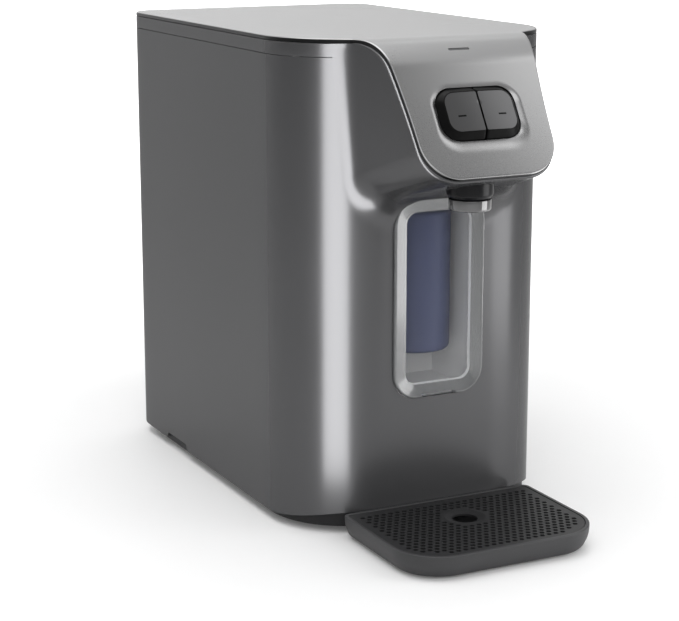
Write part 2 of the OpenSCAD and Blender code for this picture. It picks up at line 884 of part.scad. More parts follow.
module spout_collar() {
    color(charcoal) translate([0, spout_y, 0]) rotate_extrude() polygon([
        [stem_r + seat_gap, collar_z + 3.3], [collar_r - 2, collar_z + 3.3], [collar_r, collar_z + 6],
        [collar_r, hood_z - seat_gap], [stem_r + seat_gap, hood_z - seat_gap]]);
}

module spout_nozzle() {
    color([0.32, 0.32, 0.33]) translate([0, spout_y, 0]) rotate_extrude() polygon([
        [spout_bore_r + 2, nozzle_z], [nozzle_r - 1.5, nozzle_z], [nozzle_r, nozzle_z + 1.5],
        [nozzle_r, nozzle_z + nozzle_h], [stem_r + seat_gap, nozzle_z + nozzle_h],
        [stem_r + seat_gap, nozzle_z + 3.7], [spout_bore_r, nozzle_z + 3.7]]);
}

module filter_niche() {
    color(pale) difference() {
        union() {
            span([-niche_hw, niche_hw], [niche_y, niche_back],
                [niche_floor - niche_wall, niche_ceiling + niche_wall]);
            along_y(niche_y, niche_y + flange_t) translate([0, window_z + window_h / 2])
                round_rect(window_w + 2 * flange_rim, window_h + 2 * flange_rim, flange_rim);
        }
        span([-niche_hw + niche_wall, niche_hw - niche_wall], [niche_y - cut, niche_back - niche_wall],
            [niche_floor, niche_ceiling]);
        translate([0, cartridge_y, niche_ceiling - cut])
            cylinder(h=niche_wall + 2 * cut, r=neck_r + lug_reach + slide_gap);
    }
}

module filter_window() {
    color([0.8, 0.86, 0.9, 0.35]) {
        difference() {
            along_y(front_y - window_proud, front_y + window_t) window_outline(0);
            along_y(front_y, front_y + window_t + cut) window_outline(-window_rim);
        }
        for (z = [window_z + 0.2, window_top - 0.2 - snap_t])
            span([-snap_w / 2, snap_w / 2], [front_y + window_t - cut, front_y + window_t + snap_l], [z, z + snap_t]);
    }
}

// Bayonet lugs, at the angle where they pass the head's slots
module lugs(r, w, z0, z1) {
    span([-r, r], [-w / 2, w / 2], [z0, z1]);
}

module filter_cartridge() {
    round_r = 5;
    top = cartridge_z + cartridge_h;
    color(slate_blue) translate([0, cartridge_y, 0]) {
        rotate_extrude() union() {
            difference() {
                translate([0, cartridge_z]) square([cartridge_r, cartridge_h]);
                corner_gap([cartridge_r, cartridge_z], [-1, 0], [0, 1], round_r);
                corner_gap([cartridge_r, cartridge_z + cartridge_h], [-1, 0], [0, -1], round_r);
            }
            translate([0, top - cut]) square([neck_r, neck_top - top + cut]);
        }
        intersection() {
            translate([0, 0, lug_z]) cylinder(h=lug_t, r=neck_r + lug_reach);
            lugs(neck_r + lug_reach, lug_w, lug_z, lug_z + lug_t);
        }
    }
}

module filter_head() {
    socket_r = neck_r + seat_gap;
    color(pale) translate([0, cartridge_y, 0]) {
        difference() {
            union() {
                translate([0, 0, head_z]) cylinder(h=head_h, r=head_r);
                for (x = head_ports) rod_y(x, head_port_z, 0, head_r + port_l, port_r);
            }
            translate([0, 0, head_z - cut]) cylinder(h=neck_top - head_z + seat_gap + cut + 3, r=socket_r);
            translate([0, 0, lug_z - seat_gap]) cylinder(h=lug_t + 2 * seat_gap, r=neck_r + lug_reach + seat_gap);
            rotate(90) lugs(neck_r + lug_reach + seat_gap, lug_w + 2 * seat_gap, head_z - cut, lug_z);
        }
    }
}

module filter_seal() {
    color(black) translate([0, cartridge_y, neck_top + 1.4]) rotate_extrude() translate([neck_r - 2, 0]) circle(r=1.2);
}

module cold_tank() {
    color(metal) difference() {
        union() {
            translate([0, tank_y, tank_z]) cylinder(h=tank_h, r=tank_r);
            span([-block_w / 2, block_w / 2], [tank_y + tank_r / 2, block_y],
                [tank_mid - block_w / 2, tank_mid + block_w / 2]);
        }
        translate([0, tank_y, tank_z + tank_wall]) cylinder(h=tank_h, r=tank_r - tank_wall);
    }
}

module lid_ports(z0, z1, r) {
    for (s = [-1, 1]) translate([s * lid_port_x, lid_port_y, z0]) cylinder(h=z1 - z0, r=r);
}

module tank_lid() {
    color(pale) {
        translate([0, tank_y, tank_top]) cylinder(h=tank_lid_t, r=tank_r);
        lid_ports(tank_top, lid_port_top, port_r);
    }
}

module tank_foam() {
    hw = block_w / 2 + 1;
    color("white") difference() {
        translate([0, tank_y, stand_z]) cylinder(h=tank_top - stand_z, r=foam_r);
        translate([0, tank_y, tank_z]) cylinder(h=tank_h + cut, r=tank_r + seat_gap);
        span([-hw, hw], [tank_y, tank_y + foam_r + cut], [tank_mid - hw, tank_mid + hw]);
    }
}

module foam_lid() {
    color("white") difference() {
        translate([0, tank_y, tank_top]) cylinder(h=foam_lid_t, r=foam_r);
        translate([0, tank_y, tank_top - cut]) cylinder(h=tank_lid_t + seat_gap + cut, r=tank_r + seat_gap);
        lid_ports(tank_top, foam_top + cut, port_r + seat_gap);
    }
}

module tank_stand() {
    color(charcoal) {
        translate([0, tank_y, stand_z - stand_t]) cylinder(h=stand_t, r=foam_r);
        for (sx = [-1, 1], sy = [-1, 1])
            translate([sx * leg_off, tank_y + sy * leg_off, floor_z]) cylinder(h=stand_h - stand_t / 2, r=leg_r);
    }
}

// A square plate across the cooling train
module train_plate(w, y0, y1) {
    span([-w / 2, w / 2], [y0, y1], [tank_mid - w / 2, tank_mid + w / 2]);
}

module cold_block() { color(metal) train_plate(block_w, block_y, module_y); }
module cooling_module() { color("white") train_plate(module_w, module_y, sink_y); }

module heat_sink() {
    n = floor((sink_w - fin_t) / 2 / fin_pitch);
    color(metal) {
        train_plate(sink_w, sink_y, sink_y + sink_base);
        for (i = [-n:n])
            span([i * fin_pitch - fin_t / 2, i * fin_pitch + fin_t / 2], [sink_y + sink_base - cut, fan_y],
                [tank_mid - sink_w / 2, tank_mid + sink_w / 2]);
    }
}

module fan_frame() {
    motor_y = rear_in_y - motor_t;
    color(black) difference() {
        union() {
            difference() {
                train_plate(fan_w, fan_y, rear_in_y);
                rod_y(0, tank_mid, fan_y - cut, rear_in_y + cut, fan_bore_r);
            }
            rod_y(0, tank_mid, motor_y, rear_in_y, hub_r - 1);
            for (a = [45, 135]) translate([0, 0, tank_mid]) rotate([0, a, 0])
                span([-fan_bore_r - cut, fan_bore_r + cut], [rear_in_y - spoke_t, rear_in_y], [-spoke_w / 2, spoke_w / 2]);
        }
        rod_y(0, tank_mid, motor_y - cut, rear_in_y - 1, shaft_r + shaft_gap);
        for (sx = [-1, 1], sz = [-1, 1])
            rod_y(sx * fan_hole, tank_mid + sz * fan_hole, fan_y - cut, rear_in_y + cut, fan_screw_r + screw_gap);
    }
}

module fan_rotor() {
    hub = [fan_y + 2, rear_in_y - motor_t - 0.5];
    mid = (hub[0] + hub[1]) / 2;
    blade_w = (hub[1] - hub[0] - 2) / cos(blade_pitch) * 0.72;
    color(charcoal) {
        rod_y(0, tank_mid, hub[0], hub[1], hub_r);
        rod_y(0, tank_mid, hub[1] - cut, rear_in_y - 1.5, shaft_r);
        intersection() {
            rod_y(0, tank_mid, hub[0], hub[1], rotor_r);
            translate([0, mid, tank_mid]) for (i = [0:fan_blades - 1]) rotate([0, i * 360 / fan_blades, 0])
                translate([hub_r - 2, 0, 0]) rotate([blade_pitch, 0, 0])
                    translate([0, -blade_w / 2, -blade_t / 2]) cube([fan_w, blade_w, blade_t]);
        }
    }
}

module fan_screws() {
    color(metal) for (sx = [-1, 1], sz = [-1, 1]) {
        rod_y(sx * fan_hole, tank_mid + sz * fan_hole, fan_y + 6, rear_y + 0.5, fan_screw_r);
        rod_y(sx * fan_hole, tank_mid + sz * fan_hole, rear_y, rear_y + 2, 2 * fan_screw_r);
    }
}

// A solenoid valve on z = 0: body, coil, an outlet to the front and an inlet to one side
module valve_body(side) {
    w = valve_size[0];
    d = valve_size[1];
    translate([-w / 2, -d / 2, 0]) cube(valve_size);
    translate([0, 0, valve_size[2] - cut]) cylinder(h=coil_h + cut, r=coil_r);
    rod_y(0, port_rise, -d / 2 - port_l, 0, port_r);
    if (side == 0) rod_y(0, port_rise, 0, d / 2 + port_l, port_r);
    else rotate([0, side * 90, 0]) translate([-side * port_rise, 0, 0]) cylinder(h=w / 2 + port_l, r=port_r);
}

module valve_bracket() {
    color(metal) span([-bracket_hw, bracket_hw], bracket_y, [foam_top, foam_top + bracket_t]);
}

module inlet_valve() { color(pale) translate(inlet_valve_at) valve_body(0); }
module chilled_valve() { color(pale) translate([valve_x, valve_y, valve_z]) valve_body(1); }
module natural_valve() { color(pale) translate([-valve_x, valve_y, valve_z]) valve_body(-1); }

module power_supply() {
    w = supply_size[0];
    d = supply_size[1];
    color(metal) translate([-w / 2, tank_y - d / 2, floor_z]) difference() {
        cube(supply_size);
        for (i = [1:7]) translate([w / 4, i * d / 8 - 2, supply_size[2] - 3]) cube([w / 2, 4, 3 + cut]);
    }
}

module inlet_fitting() {
    out = back_y - 1;
    color("white") difference() {
        union() {
            rod_y(fitting_x, pocket_mid_z, pocket_y, out, fitting_r);
            rod_y(fitting_x, pocket_mid_z, pocket_y - pocket_wall - cut, pocket_y + cut, fitting_r - 2);
            rod_y(fitting_x, pocket_mid_z, pocket_y - pocket_wall - fitting_in, pocket_y, port_r);
        }
        rod_y(fitting_x, pocket_mid_z, out - fitting_bore_l, out + cut, fitting_bore_r);
    }
}

module cable_gland() {
    color(black) difference() {
        union() {
            rod_y(gland_x, pocket_mid_z, pocket_y, pocket_y + 10, gland_r);
            rod_y(gland_x, pocket_mid_z, pocket_y - pocket_wall - 3, pocket_y + cut, gland_r - 2);
        }
        rod_y(gland_x, pocket_mid_z, pocket_y - pocket_wall - 4, pocket_y + 11, gland_bore_r);
    }
}

// A round tube swept along a path: rings of points square to the path's direction
function path_dir(p, i) = unit(p[min(i + 1, len(p) - 1)] - p[max(i - 1, 0)]);
function ring_frame(t) = let (ref = abs(t[2]) > 0.9 ? [1, 0, 0] : [0, 0, 1], u = unit(cross(ref, t)))
    [u, cross(t, u)];
function carry(u, t) = unit(u - (u * t) * t);
function side_dirs(p, i=0, u=undef) = i >= len(p) ? [] :
    let (t = path_dir(p, i), v = is_undef(u) ? ring_frame(t)[0] : carry(u, t))
    concat([v], side_dirs(p, i + 1, v));
module tube(p, r, sides) {
    n = len(p);
    u = side_dirs(p);
    points = [for (i = [0:n - 1]) let (t = path_dir(p, i), v = cross(t, u[i]))
        for (k = [0:sides - 1]) p[i] + r * (cos(360 * k / sides) * u[i] + sin(360 * k / sides) * v)];
    walls = [for (i = [0:n - 2], k = [0:sides - 1]) let (a = i * sides + k, b = i * sides + (k + 1) % sides)
        each [[a, a + sides, b], [b, a + sides, b + sides]]];
    caps = [[for (k = [0:sides - 1]) k], [for (k = [sides - 1:-1:0]) (n - 1) * sides + k]];
    polyhedron(points=points, faces=concat(walls, caps));
}

// Cuts the corners of a hand-chosen path, a few times over; its ends and end directions stay
function cut_corners(p) = concat([p[0]], [for (i = [0:len(p) - 2])
    each [0.75 * p[i] + 0.25 * p[i + 1], 0.25 * p[i] + 0.75 * p[i + 1]]], [p[len(p) - 1]]);
function smooth_path(p, times) = times == 0 ? p : smooth_path(cut_corners(p), times - 1);
module hose(p) {
    n = len(p) - 1;
    start = p[0] + hose_gap * unit(p[1] - p[0]);
    end = p[n] + hose_gap * unit(p[n - 1] - p[n]);
    run = concat([start], [for (i = [1:n - 1]) p[i]], [end]);
    color(pale) tube(smooth_path(run, hose_cuts), hose_r, hose_sides);
}

// Where the hoses begin and end, on the faces of the ports
fitting_end = [fitting_x, pocket_y - pocket_wall - fitting_in, pocket_mid_z];
inlet_in = inlet_valve_at + [0, valve_size[1] / 2 + port_l, port_rise];
inlet_out = inlet_valve_at + [0, -valve_size[1] / 2 - port_l, port_rise];
feed_end = [head_ports[2], head_port_y, head_port_z];
tank_feed = [head_ports[1], head_port_y, head_port_z];
natural_feed = [head_ports[0], head_port_y, head_port_z];
lid_in = [-lid_port_x, lid_port_y, lid_port_top];
lid_out = [lid_port_x, lid_port_y, lid_port_top];
side_run = valve_size[0] / 2 + port_l;
chilled_in = [valve_x + side_run, valve_y, outlet_z];
natural_in = [-valve_x - side_run, valve_y, outlet_z];
chilled_out = [valve_x, valve_y - valve_size[1] / 2 - port_l, outlet_z];
natural_out = [-valve_x, valve_y - valve_size[1] / 2 - port_l, outlet_z];
barb_y = spout_y + barb_l;
rise = [half_w - 18.5, niche_back + 31.7, 0];

module inlet_hose() {
    hose([fitting_end, fitting_end - [0, 16, 0], (fitting_end + inlet_in) / 2, inlet_in + [0, 16, 0], inlet_in]);
}

module feed_hose() {
    hose([inlet_out, inlet_out - [0, 20, 0], rise + [-6, 50, floor_z + 22], rise + [0, 15, floor_z + 62],
        rise + [0, 0, head_port_z - 119], rise + [-8, -10, head_port_z - 44], rise + [-44, -15, head_port_z - 17],
        feed_end + [14, 22, -6], feed_end + [0, 14, 0], feed_end]);
}

module tank_hose() {
    hose([tank_feed, tank_feed + [0, 18, 0], tank_feed + [0, 39, 21], tank_feed + [0, 89, 41],
        lid_in + [13, -23, 50], lid_in + [0, 0, 34], lid_in + [0, 0, 14], lid_in]);
}

module chilled_hose() {
    hose([lid_out, lid_out + [0, 0, 16], lid_out + [7, 0, 33], lid_out + [37, -20, 35],
        chilled_in + [32, 26, 17], chilled_in + [26, 6, 0], chilled_in + [12, 0, 0], chilled_in]);
}

module natural_hose() {
    under = [natural_in[0], natural_in[1], min(natural_in[2], head_port_z) - 13];
    hose([natural_feed, natural_feed + [0, 12, 0], under + [26, -68, 0], under + [-8, -52, -4],
        under + [-32, -32, 0], natural_in + [-28, -6, 0], natural_in - [12, 0, 0], natural_in]);
}

module spout_hose(s, out) {
    hose([out, out - [0, 18, 0], [s * (head_r + 10), niche_back + 2, hood_floor],
        [s * (head_r + 8), cartridge_y - 5, hood_floor + 14], [s * (barb_x + 10), front_y - 2, barb_z + 2],
        [s * barb_x, barb_y + 14, barb_z], [s * barb_x, barb_y, barb_z]]);
}

module cold_spout_hose() { spout_hose(1, chilled_out); }
module natural_spout_hose() { spout_hose(-1, natural_out); }

// The tray seen from above, drawn in by inset; its rear edge lies along the front face
module tray_outline(inset, rear_inset) {
    hw = tray_w / 2 - inset;
    front = tray_y + inset;
    back = tray_back - rear_inset;
    difference() {
        translate([-hw, front]) square([2 * hw, back - front]);
        for (s = [-1, 1]) {
            corner_gap([s * hw, front], [-s, 0], [0, 1], tray_corner_r - inset);
            corner_gap([s * hw, back], [-s, 0], [0, -1], max(tray_rear_r - rear_inset, 2));
        }
    }
}

module drip_tray() {
    inner = rim_w + ledge_w;
    ledge_z = grille_top - grille_t;
    color(charcoal) {
        difference() {
            hull() {
                along_z(tray_h - tray_skirt, tray_h) tray_outline(0, 0, $fn=facets);
                along_z(tray_z, tray_z + cut) tray_outline(tray_flare, 0, $fn=facets);
            }
            along_z(ledge_z, tray_h + cut) tray_outline(rim_w, rim_w);
            hull() {
                along_z(ledge_z - cut, tray_h) tray_outline(inner, inner, $fn=facets);
                along_z(tray_z + tray_wall, tray_z + tray_wall + cut)
                    tray_outline(tray_flare + tray_wall, inner, $fn=facets);
            }
        }
        for (s = [-1, 1])
            span([s * tongue_x - tongue_w / 2, s * tongue_x + tongue_w / 2],
                [tray_back - cut, front_y + tongue_l], tongue_z);
    }
}

// True where a hole of the grille lies wholly inside its plain edge and outside the drain's dish
function inside_tray(p, margin) = let (hw = tray_w / 2 - margin, front = tray_y + margin,
    r = tray_corner_r - margin, dx = abs(p[0]) - (hw - r), dy = front + r - p[1])
    abs(p[0]) <= hw && p[1] >= front && p[1] <= tray_back - margin && (dx < 0 || dy < 0 || dx * dx + dy * dy <= r * r);
function hole_centres() = let (row = hole_pitch * sqrt(3) / 2, nx = ceil(tray_w / 2 / hole_pitch),
    ny = ceil(tray_reach / row))
    [for (j = [-ny:ny], i = [-nx:nx])
        let (p = [(i + (abs(j) % 2) / 2) * hole_pitch, spout_y + j * row])
        if (inside_tray(p, rim_w + slide_gap + grille_edge + hole_w / 2)
            && norm(p - [0, spout_y]) > drain_dish_r + hole_w / 2) p];

module drip_grille() {
    inset = rim_w + slide_gap;
    color(black) difference() {
        along_z(grille_top - grille_t, grille_top) tray_outline(inset, inset);
        for (p = hole_centres()) translate([p[0], p[1], grille_top - grille_t - cut]) rotate(30)
            cylinder(h=grille_t + 2 * cut, d=hole_w / cos(30), $fn=6);
        translate([0, spout_y, grille_top - grille_t - cut]) cylinder(h=grille_t + 2 * cut, r=drain_r);
        translate([0, spout_y, grille_top - grille_t / 2])
            cylinder(h=grille_t / 2 + 0.01, r1=drain_r - 0.01, r2=drain_dish_r);
    }
}

body_shell();
top_cover();
rear_panel();
connector_box();
base_plate();
rubber_feet();
top_band();
left_key();
right_key();
key_carrier();
left_key_spring();
right_key_spring();
control_board();
key_switches();
carrier_screws();
indicator_lens();
spout_stem();
spout_collar();
spout_nozzle();
filter_niche();
filter_window();
filter_cartridge();
filter_head();
filter_seal();
cold_tank();
tank_lid();
tank_foam();
foam_lid();
tank_stand();
cold_block();
cooling_module();
heat_sink();
fan_frame();
fan_rotor();
fan_screws();
valve_bracket();
inlet_valve();
chilled_valve();
natural_valve();
power_supply();
inlet_fitting();
cable_gland();
inlet_hose();
feed_hose();
tank_hose();
chilled_hose();
natural_hose();
cold_spout_hose();
natural_spout_hose();
drip_tray();
drip_grille();
rear_screws();
base_screws();
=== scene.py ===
"""Countertop water purifier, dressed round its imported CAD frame.

The cabinet's skin, the bent cover plate, the keys, the clear filter window, the cartridge, the spout
and the drip tray are parametric surfaces worked out with numpy; the other nodes keep their CAD
meshes and get procedural finishes. Lengths are metres, +Z is up and the front faces -Y.
"""

import json
import math

import bmesh
import bpy
import numpy as np
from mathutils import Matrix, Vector

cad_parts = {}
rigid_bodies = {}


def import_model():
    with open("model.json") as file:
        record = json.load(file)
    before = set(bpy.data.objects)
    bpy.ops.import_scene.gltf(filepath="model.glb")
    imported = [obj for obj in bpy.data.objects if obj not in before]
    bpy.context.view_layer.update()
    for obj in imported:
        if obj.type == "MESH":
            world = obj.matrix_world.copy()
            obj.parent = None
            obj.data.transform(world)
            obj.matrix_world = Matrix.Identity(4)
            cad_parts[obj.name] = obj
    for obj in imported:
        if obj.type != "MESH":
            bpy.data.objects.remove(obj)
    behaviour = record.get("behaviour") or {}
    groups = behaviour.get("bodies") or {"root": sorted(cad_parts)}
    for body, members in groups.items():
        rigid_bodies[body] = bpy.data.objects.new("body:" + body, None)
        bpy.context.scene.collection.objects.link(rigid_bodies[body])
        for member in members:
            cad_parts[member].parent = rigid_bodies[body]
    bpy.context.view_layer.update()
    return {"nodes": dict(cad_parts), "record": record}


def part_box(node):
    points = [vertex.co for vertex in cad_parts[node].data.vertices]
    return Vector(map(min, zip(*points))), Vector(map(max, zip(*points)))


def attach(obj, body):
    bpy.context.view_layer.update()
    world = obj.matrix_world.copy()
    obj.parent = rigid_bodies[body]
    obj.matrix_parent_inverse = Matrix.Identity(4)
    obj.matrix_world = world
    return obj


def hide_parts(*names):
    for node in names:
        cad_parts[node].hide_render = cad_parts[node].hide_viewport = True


bl_info = {
    "name": "Water purifier",
    "version": (1, 0, 0),
    "blender": (4, 5, 0),
    "location": "3D View > Sidebar > Purifier",
    "description": "Skin, cover, keys, filter, spout and tray of a countertop water purifier",
    "category": "Object",
}

for stray in list(bpy.data.objects):
    bpy.data.objects.remove(stray)
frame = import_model()
MM = 0.001
SEAT_GAP = 0.3 * MM
MIRROR = np.array([-1, 1, 1])

# Faces of the frame that the new pieces take their places from
SHELL_LOW, SHELL_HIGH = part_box("body_shell")
COVER_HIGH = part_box("top_cover")[1]
BAND_LOW, BAND_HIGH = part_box("top_band")
COLLAR_LOW, COLLAR_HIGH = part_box("spout_collar")
NOZZLE_LOW, NOZZLE_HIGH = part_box("spout_nozzle")
WINDOW_LOW, WINDOW_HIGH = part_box("filter_window")
CARTRIDGE_LOW, CARTRIDGE_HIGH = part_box("filter_cartridge")
PANEL_LOW, PANEL_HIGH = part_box("rear_panel")
TRAY_LOW, TRAY_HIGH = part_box("drip_tray")
GRILLE_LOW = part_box("drip_grille")[0]

HALF_W = SHELL_HIGH.x
BACK_Y = SHELL_HIGH.y
FRONT_Y = BAND_LOW.y
TOP_Z = COVER_HIGH.z
SEAM_Z = BAND_LOW.z - SEAT_GAP
HOOD_Z = COLLAR_HIGH.z + SEAT_GAP
SHELL_Z = SHELL_LOW.z
PLATE_T = TOP_Z - BAND_HIGH.z - SEAT_GAP

# The cover plate: reach of its smooth join to the hood, the flat beside its rounded edge, the bevel
# below, and the row of its rim from which its edge is painted dark as shade
JOIN_REACH = 9 * MM
PLATE_FLAT = 1.2 * MM
PLATE_BEVEL = 0.4 * MM
RIM_SHADE_ROW = 7
# The dish's width at the sides and above, and its depth above, as shares of those below the keys
DISH_SIDE = 0.45
DISH_ABOVE = 0.35
DISH_ABOVE_DEPTH = 0.25
# The indicator's slot: its place round the bend, half its height and its corners
INDICATOR_TURN = math.radians(36)
INDICATOR_HALF = 1.2 * MM
INDICATOR_CORNER = 0.9 * MM

# The hood's lip: how far it stands out below and beside the plate, how far under the plate it starts,
# the share of the plate's thickness at which it turns, and the most that the turn takes of the wall
LIP_LOW = 2 * MM
LIP_SIDE = 0.6 * MM
LIP_UNDER = 2.2 * MM
LIP_LEVEL = 0.8
LIP_SOFT = 4 * MM
LIP_SHARE = 0.12
# The hollow under the hood: the most that it takes of the wall, the lean of the crease's sides and of
# its own, and the points along the bottom, the corner, the side and the top of each U
HOLLOW_SHARE = 0.6
CREASE_LEAN = 7.5 * MM
HOLLOW_LEAN = 8 * MM
FLAT_STEPS, CORNER_STEPS, SIDE_STEPS, TOP_STEPS = 16, 40, 36, 6

# The cabinet's skin: arc lengths at which its bottom edge starts down and its plain side starts, the
# rear opening's margin and corners, the notch at the foot of the sides in (y, z), and the band's edge
APRON_START = 66 * MM
SIDE_START = 150 * MM
REAR_MARGIN = 9 * MM
REAR_CORNER = 2 * MM
SIDE_NOTCH = np.array([(117, 7), (167, 7), (162, 13), (122, 13)]) * MM
BAND_ROUND = 0.5 * MM

# The keys: the split between them, the gap round them, their depth, the fall of their crown, the flat
# inside the chamfer, the corners at the split, how much of the draw the split's side takes, and the
# shift of UV.y that marks their sides
KEY_SPLIT = 1 * MM
KEY_GAP = 0.5 * MM
KEY_DEEP = 7.5 * MM
KEY_CROWN = 1.3 * MM
KEY_FLAT = 0.8 * MM
KEY_INNER_CORNER = 1 * MM
KEY_INNER_DRAW = 0.05
KEY_SIDE_MARK = 2

# The filter: the pane's depth behind the front face, the rim's inner edge in front of it, the step
# between them with its rows, the bevel of the rim's edge (in, back), the window's gap, the grip slot
# below, and the cartridge's shoulder, neck and lugs, whose heights are below its top
PANE_SET_IN = 2.2 * MM
RIM_PROUD = 1 * MM
STEP_LEAN = 0.3 * MM
PANE_LAP = 2 * MM
STEP_ROWS = slice(6, 12)
WINDOW_BEVEL = 0.9 * MM, 0.7 * MM
WINDOW_GAP = 0.5 * MM
GRIP_HALF = 15 * MM
GRIP_DROP = 2 * MM
GRIP_RISE = 2.6 * MM
GRIP_CORNER = 1.2 * MM
SHOULDER_Z = 246.5 * MM
SHOULDER_ROUND = 5 * MM
NECK_R = 12 * MM
LUG_REACH = 3 * MM
LUG_HALF = 4.5 * MM
LUG_LOW = 7 * MM
LUG_HIGH = 4 * MM

# The spout: its bore, the collar's chamfer (in, up), and the nozzle's lower edge above its node's, the
# radii of its lip and throat, and the height of its floor
SPOUT_BORE = 8.3 * MM
COLLAR_DRAW = 2.4 * MM
COLLAR_CHAMFER = 3 * MM
NOZZLE_LIFT = 2.5 * MM
NOZZLE_LIP_R = 6 * MM
NOZZLE_THROAT_R = 4 * MM
NOZZLE_FLOOR = 3.7 * MM

# The drip tray: its gap to the front face, rear corners, skirt with its lean, rim, ledge, floor, and
# the insets beside and behind of its foot, its basin's corner and its basin's floor; then its tongues
TRAY_GAP = 0.5 * MM
TRAY_REAR_R = 6 * MM
TRAY_LEAST_R = 2 * MM
TRAY_SKIRT = 9 * MM
TRAY_LEAN = 0.4 * MM
TRAY_RIM = 3 * MM
TRAY_LEDGE = 6 * MM
TRAY_FLOOR = 2.4 * MM
TRAY_FOOT = 6 * MM, 2 * MM
TRAY_BASIN = 2.4 * MM, 6.2 * MM
TRAY_INNER = 8 * MM, 9 * MM
TRAY_ROUNDS = np.array([3, 5, 1.1, 0.5, 0.4, 0.5, 1.5]) * MM
TONGUE_X = 50 * MM
TONGUE_HALF = 9 * MM
TONGUE_Z = 10 * MM, 16.5 * MM
TONGUE_ROOT = 1.5 * MM
TONGUE_CORNER = 1 * MM

# Depths between which the cutters reach, outside and inside the face that they open: the rear opening
# and the grip slot, the window under the hood, the keys' opening and the indicator's slot
CUT_OUT = 5 * MM
CUT_IN = 8 * MM
WINDOW_CUT = -30 * MM, 6 * MM
KEY_CUT = -4 * MM, 14 * MM
SLOT_CUT = -3 * MM, 7 * MM


def length(name, text, default):
    """A length that a user may change."""
    return bpy.props.FloatProperty(name=name, description=text, default=default, unit="LENGTH", precision=5)


def colour(name, text, default):
    """A colour that a user may change."""
    return bpy.props.FloatVectorProperty(
        name=name, description=text, default=default, subtype="COLOR", size=3, min=0, max=1
    )


class PurifierSizes(bpy.types.PropertyGroup):
    """Sizes of the dressed pieces that the frame's boxes don't give."""

    front_radius: length("Front corner", "Radius of the cabinet's front corners", 68 * MM)
    rear_radius: length("Rear corner", "Radius of the cabinet's rear corners", 22 * MM)
    heel_radius: length("Heel", "Radius of the lower rear edge", 22 * MM)
    wall: length("Wall", "Thickness of the skin", 3 * MM)
    plinth: length("Plinth", "Height of the skin's front edge above the table", 17.5 * MM)
    hood_reach: length("Hood reach", "Hood's sharp tip in front of the front face", 84 * MM)
    hood_tilt: bpy.props.FloatProperty(
        name="Hood tilt", description="Lean of the fascia", default=math.radians(32), subtype="ANGLE"
    )
    bend_radius: length("Bend", "Radius of the bend from the top into the fascia", 41 * MM)
    root_half: length("Hood root", "Half the hood's width where it leaves the front", 71.2 * MM)
    tip_half: length("Hood tip", "Half the hood's width at its tip", 55.7 * MM)
    fascia_corner: length("Fascia corner", "Radius of the fascia's lower corners", 28.5 * MM)
    fascia_edge: length("Fascia edge", "Distance from the hood's tip up to the plate's edge", 2.1 * MM)
    crease_half: length("Crease", "Half the width between the hood's creases at their top", 76 * MM)
    crease_corner: length("Crease corner", "Radius of the crease's lower corners", 22 * MM)
    crease_drop: length("Crease drop", "Drop of the hood's underside towards the front face", 25 * MM)
    hollow_half: length("Hollow", "Half the width between the hollows' outer edges at their top", 85.5 * MM)
    hollow_corner: length("Hollow corner", "Radius of the lower corners of the hollows' outer edge", 48 * MM)
    hollow_drop: length("Hollow drop", "How far the hollow runs down the front below the hood", 52 * MM)
    plate_round: length("Plate edge", "Radius of the cover plate's edge", 1.3 * MM)
    key_width: length("Key width", "Width of one key", 32.6 * MM)
    key_height: length("Key height", "Height of a key along the fascia", 41 * MM)
    key_corner: length("Key corner", "Radius of the outer corners of the keys", 13.5 * MM)
    key_proud: length("Key proud", "Height of the keys above the fascia", 4 * MM)
    key_chamfer: length("Key chamfer", "Width of the chamfer round the keys", 4.6 * MM)
    key_rise: length("Key rise", "Distance from the hood's tip to the middle of the keys", 52.8 * MM)
    dish_rim: length("Dish rim", "Width of the dish below the keys", 10.5 * MM)
    dish_depth: length("Dish depth", "Depth of the dish", 1.7 * MM)
    window_corner: length("Window corner", "Radius of the window's corners", 20 * MM)
    window_rim: length("Window rim", "Width of the window's thick rim", 11 * MM)
    tray_corner: length("Tray corner", "Radius of the tray's front corners", 38 * MM)
    tray_flare: length("Tray flare", "How far the tray's walls lean in", 5 * MM)


class PurifierColours(bpy.types.PropertyGroup):
    """Base colours of the finishes."""

    graphite: colour("Graphite", "Satin paint of the cabinet", (0.095, 0.095, 0.098))
    silver: colour("Silver", "Satin paint of the cover plate", (0.33, 0.33, 0.332))
    charcoal: colour("Charcoal", "Moulded dark plastic", (0.038, 0.038, 0.04))
    slate: colour("Slate", "Filter cartridge", (0.048, 0.059, 0.124))
    floor: colour("Floor", "Studio floor", (0.86, 0.86, 0.86))


def sizes():
    return bpy.context.scene.purifier_sizes


def colours():
    return bpy.context.scene.purifier_colours


# Mesh tools


def quads(rows, cols, wrap=False):
    """Corner numbers of the quads of a rows x cols grid; wrap closes each row onto its start."""
    i = np.arange(rows - 1)[:, None]
    j = np.arange(cols if wrap else cols - 1)[None, :]
    k = (j + 1) % cols
    corners = (i * cols + j, i * cols + k, (i + 1) * cols + k, (i + 1) * cols + j)
    return np.stack(np.broadcast_arrays(*corners), -1).reshape(-1, 4)


def sheet_part(points, wrap=False, flip=False, uv=None):
    """A grid of points, with its quads and its UVs, ready for piece()."""
    rows, cols = points.shape[:2]
    faces = quads(rows, cols, wrap)
    uv = np.zeros((rows, cols, 2)) if uv is None else uv
    return points.reshape(-1, 3), faces[:, ::-1] if flip else faces, uv.reshape(-1, 2)


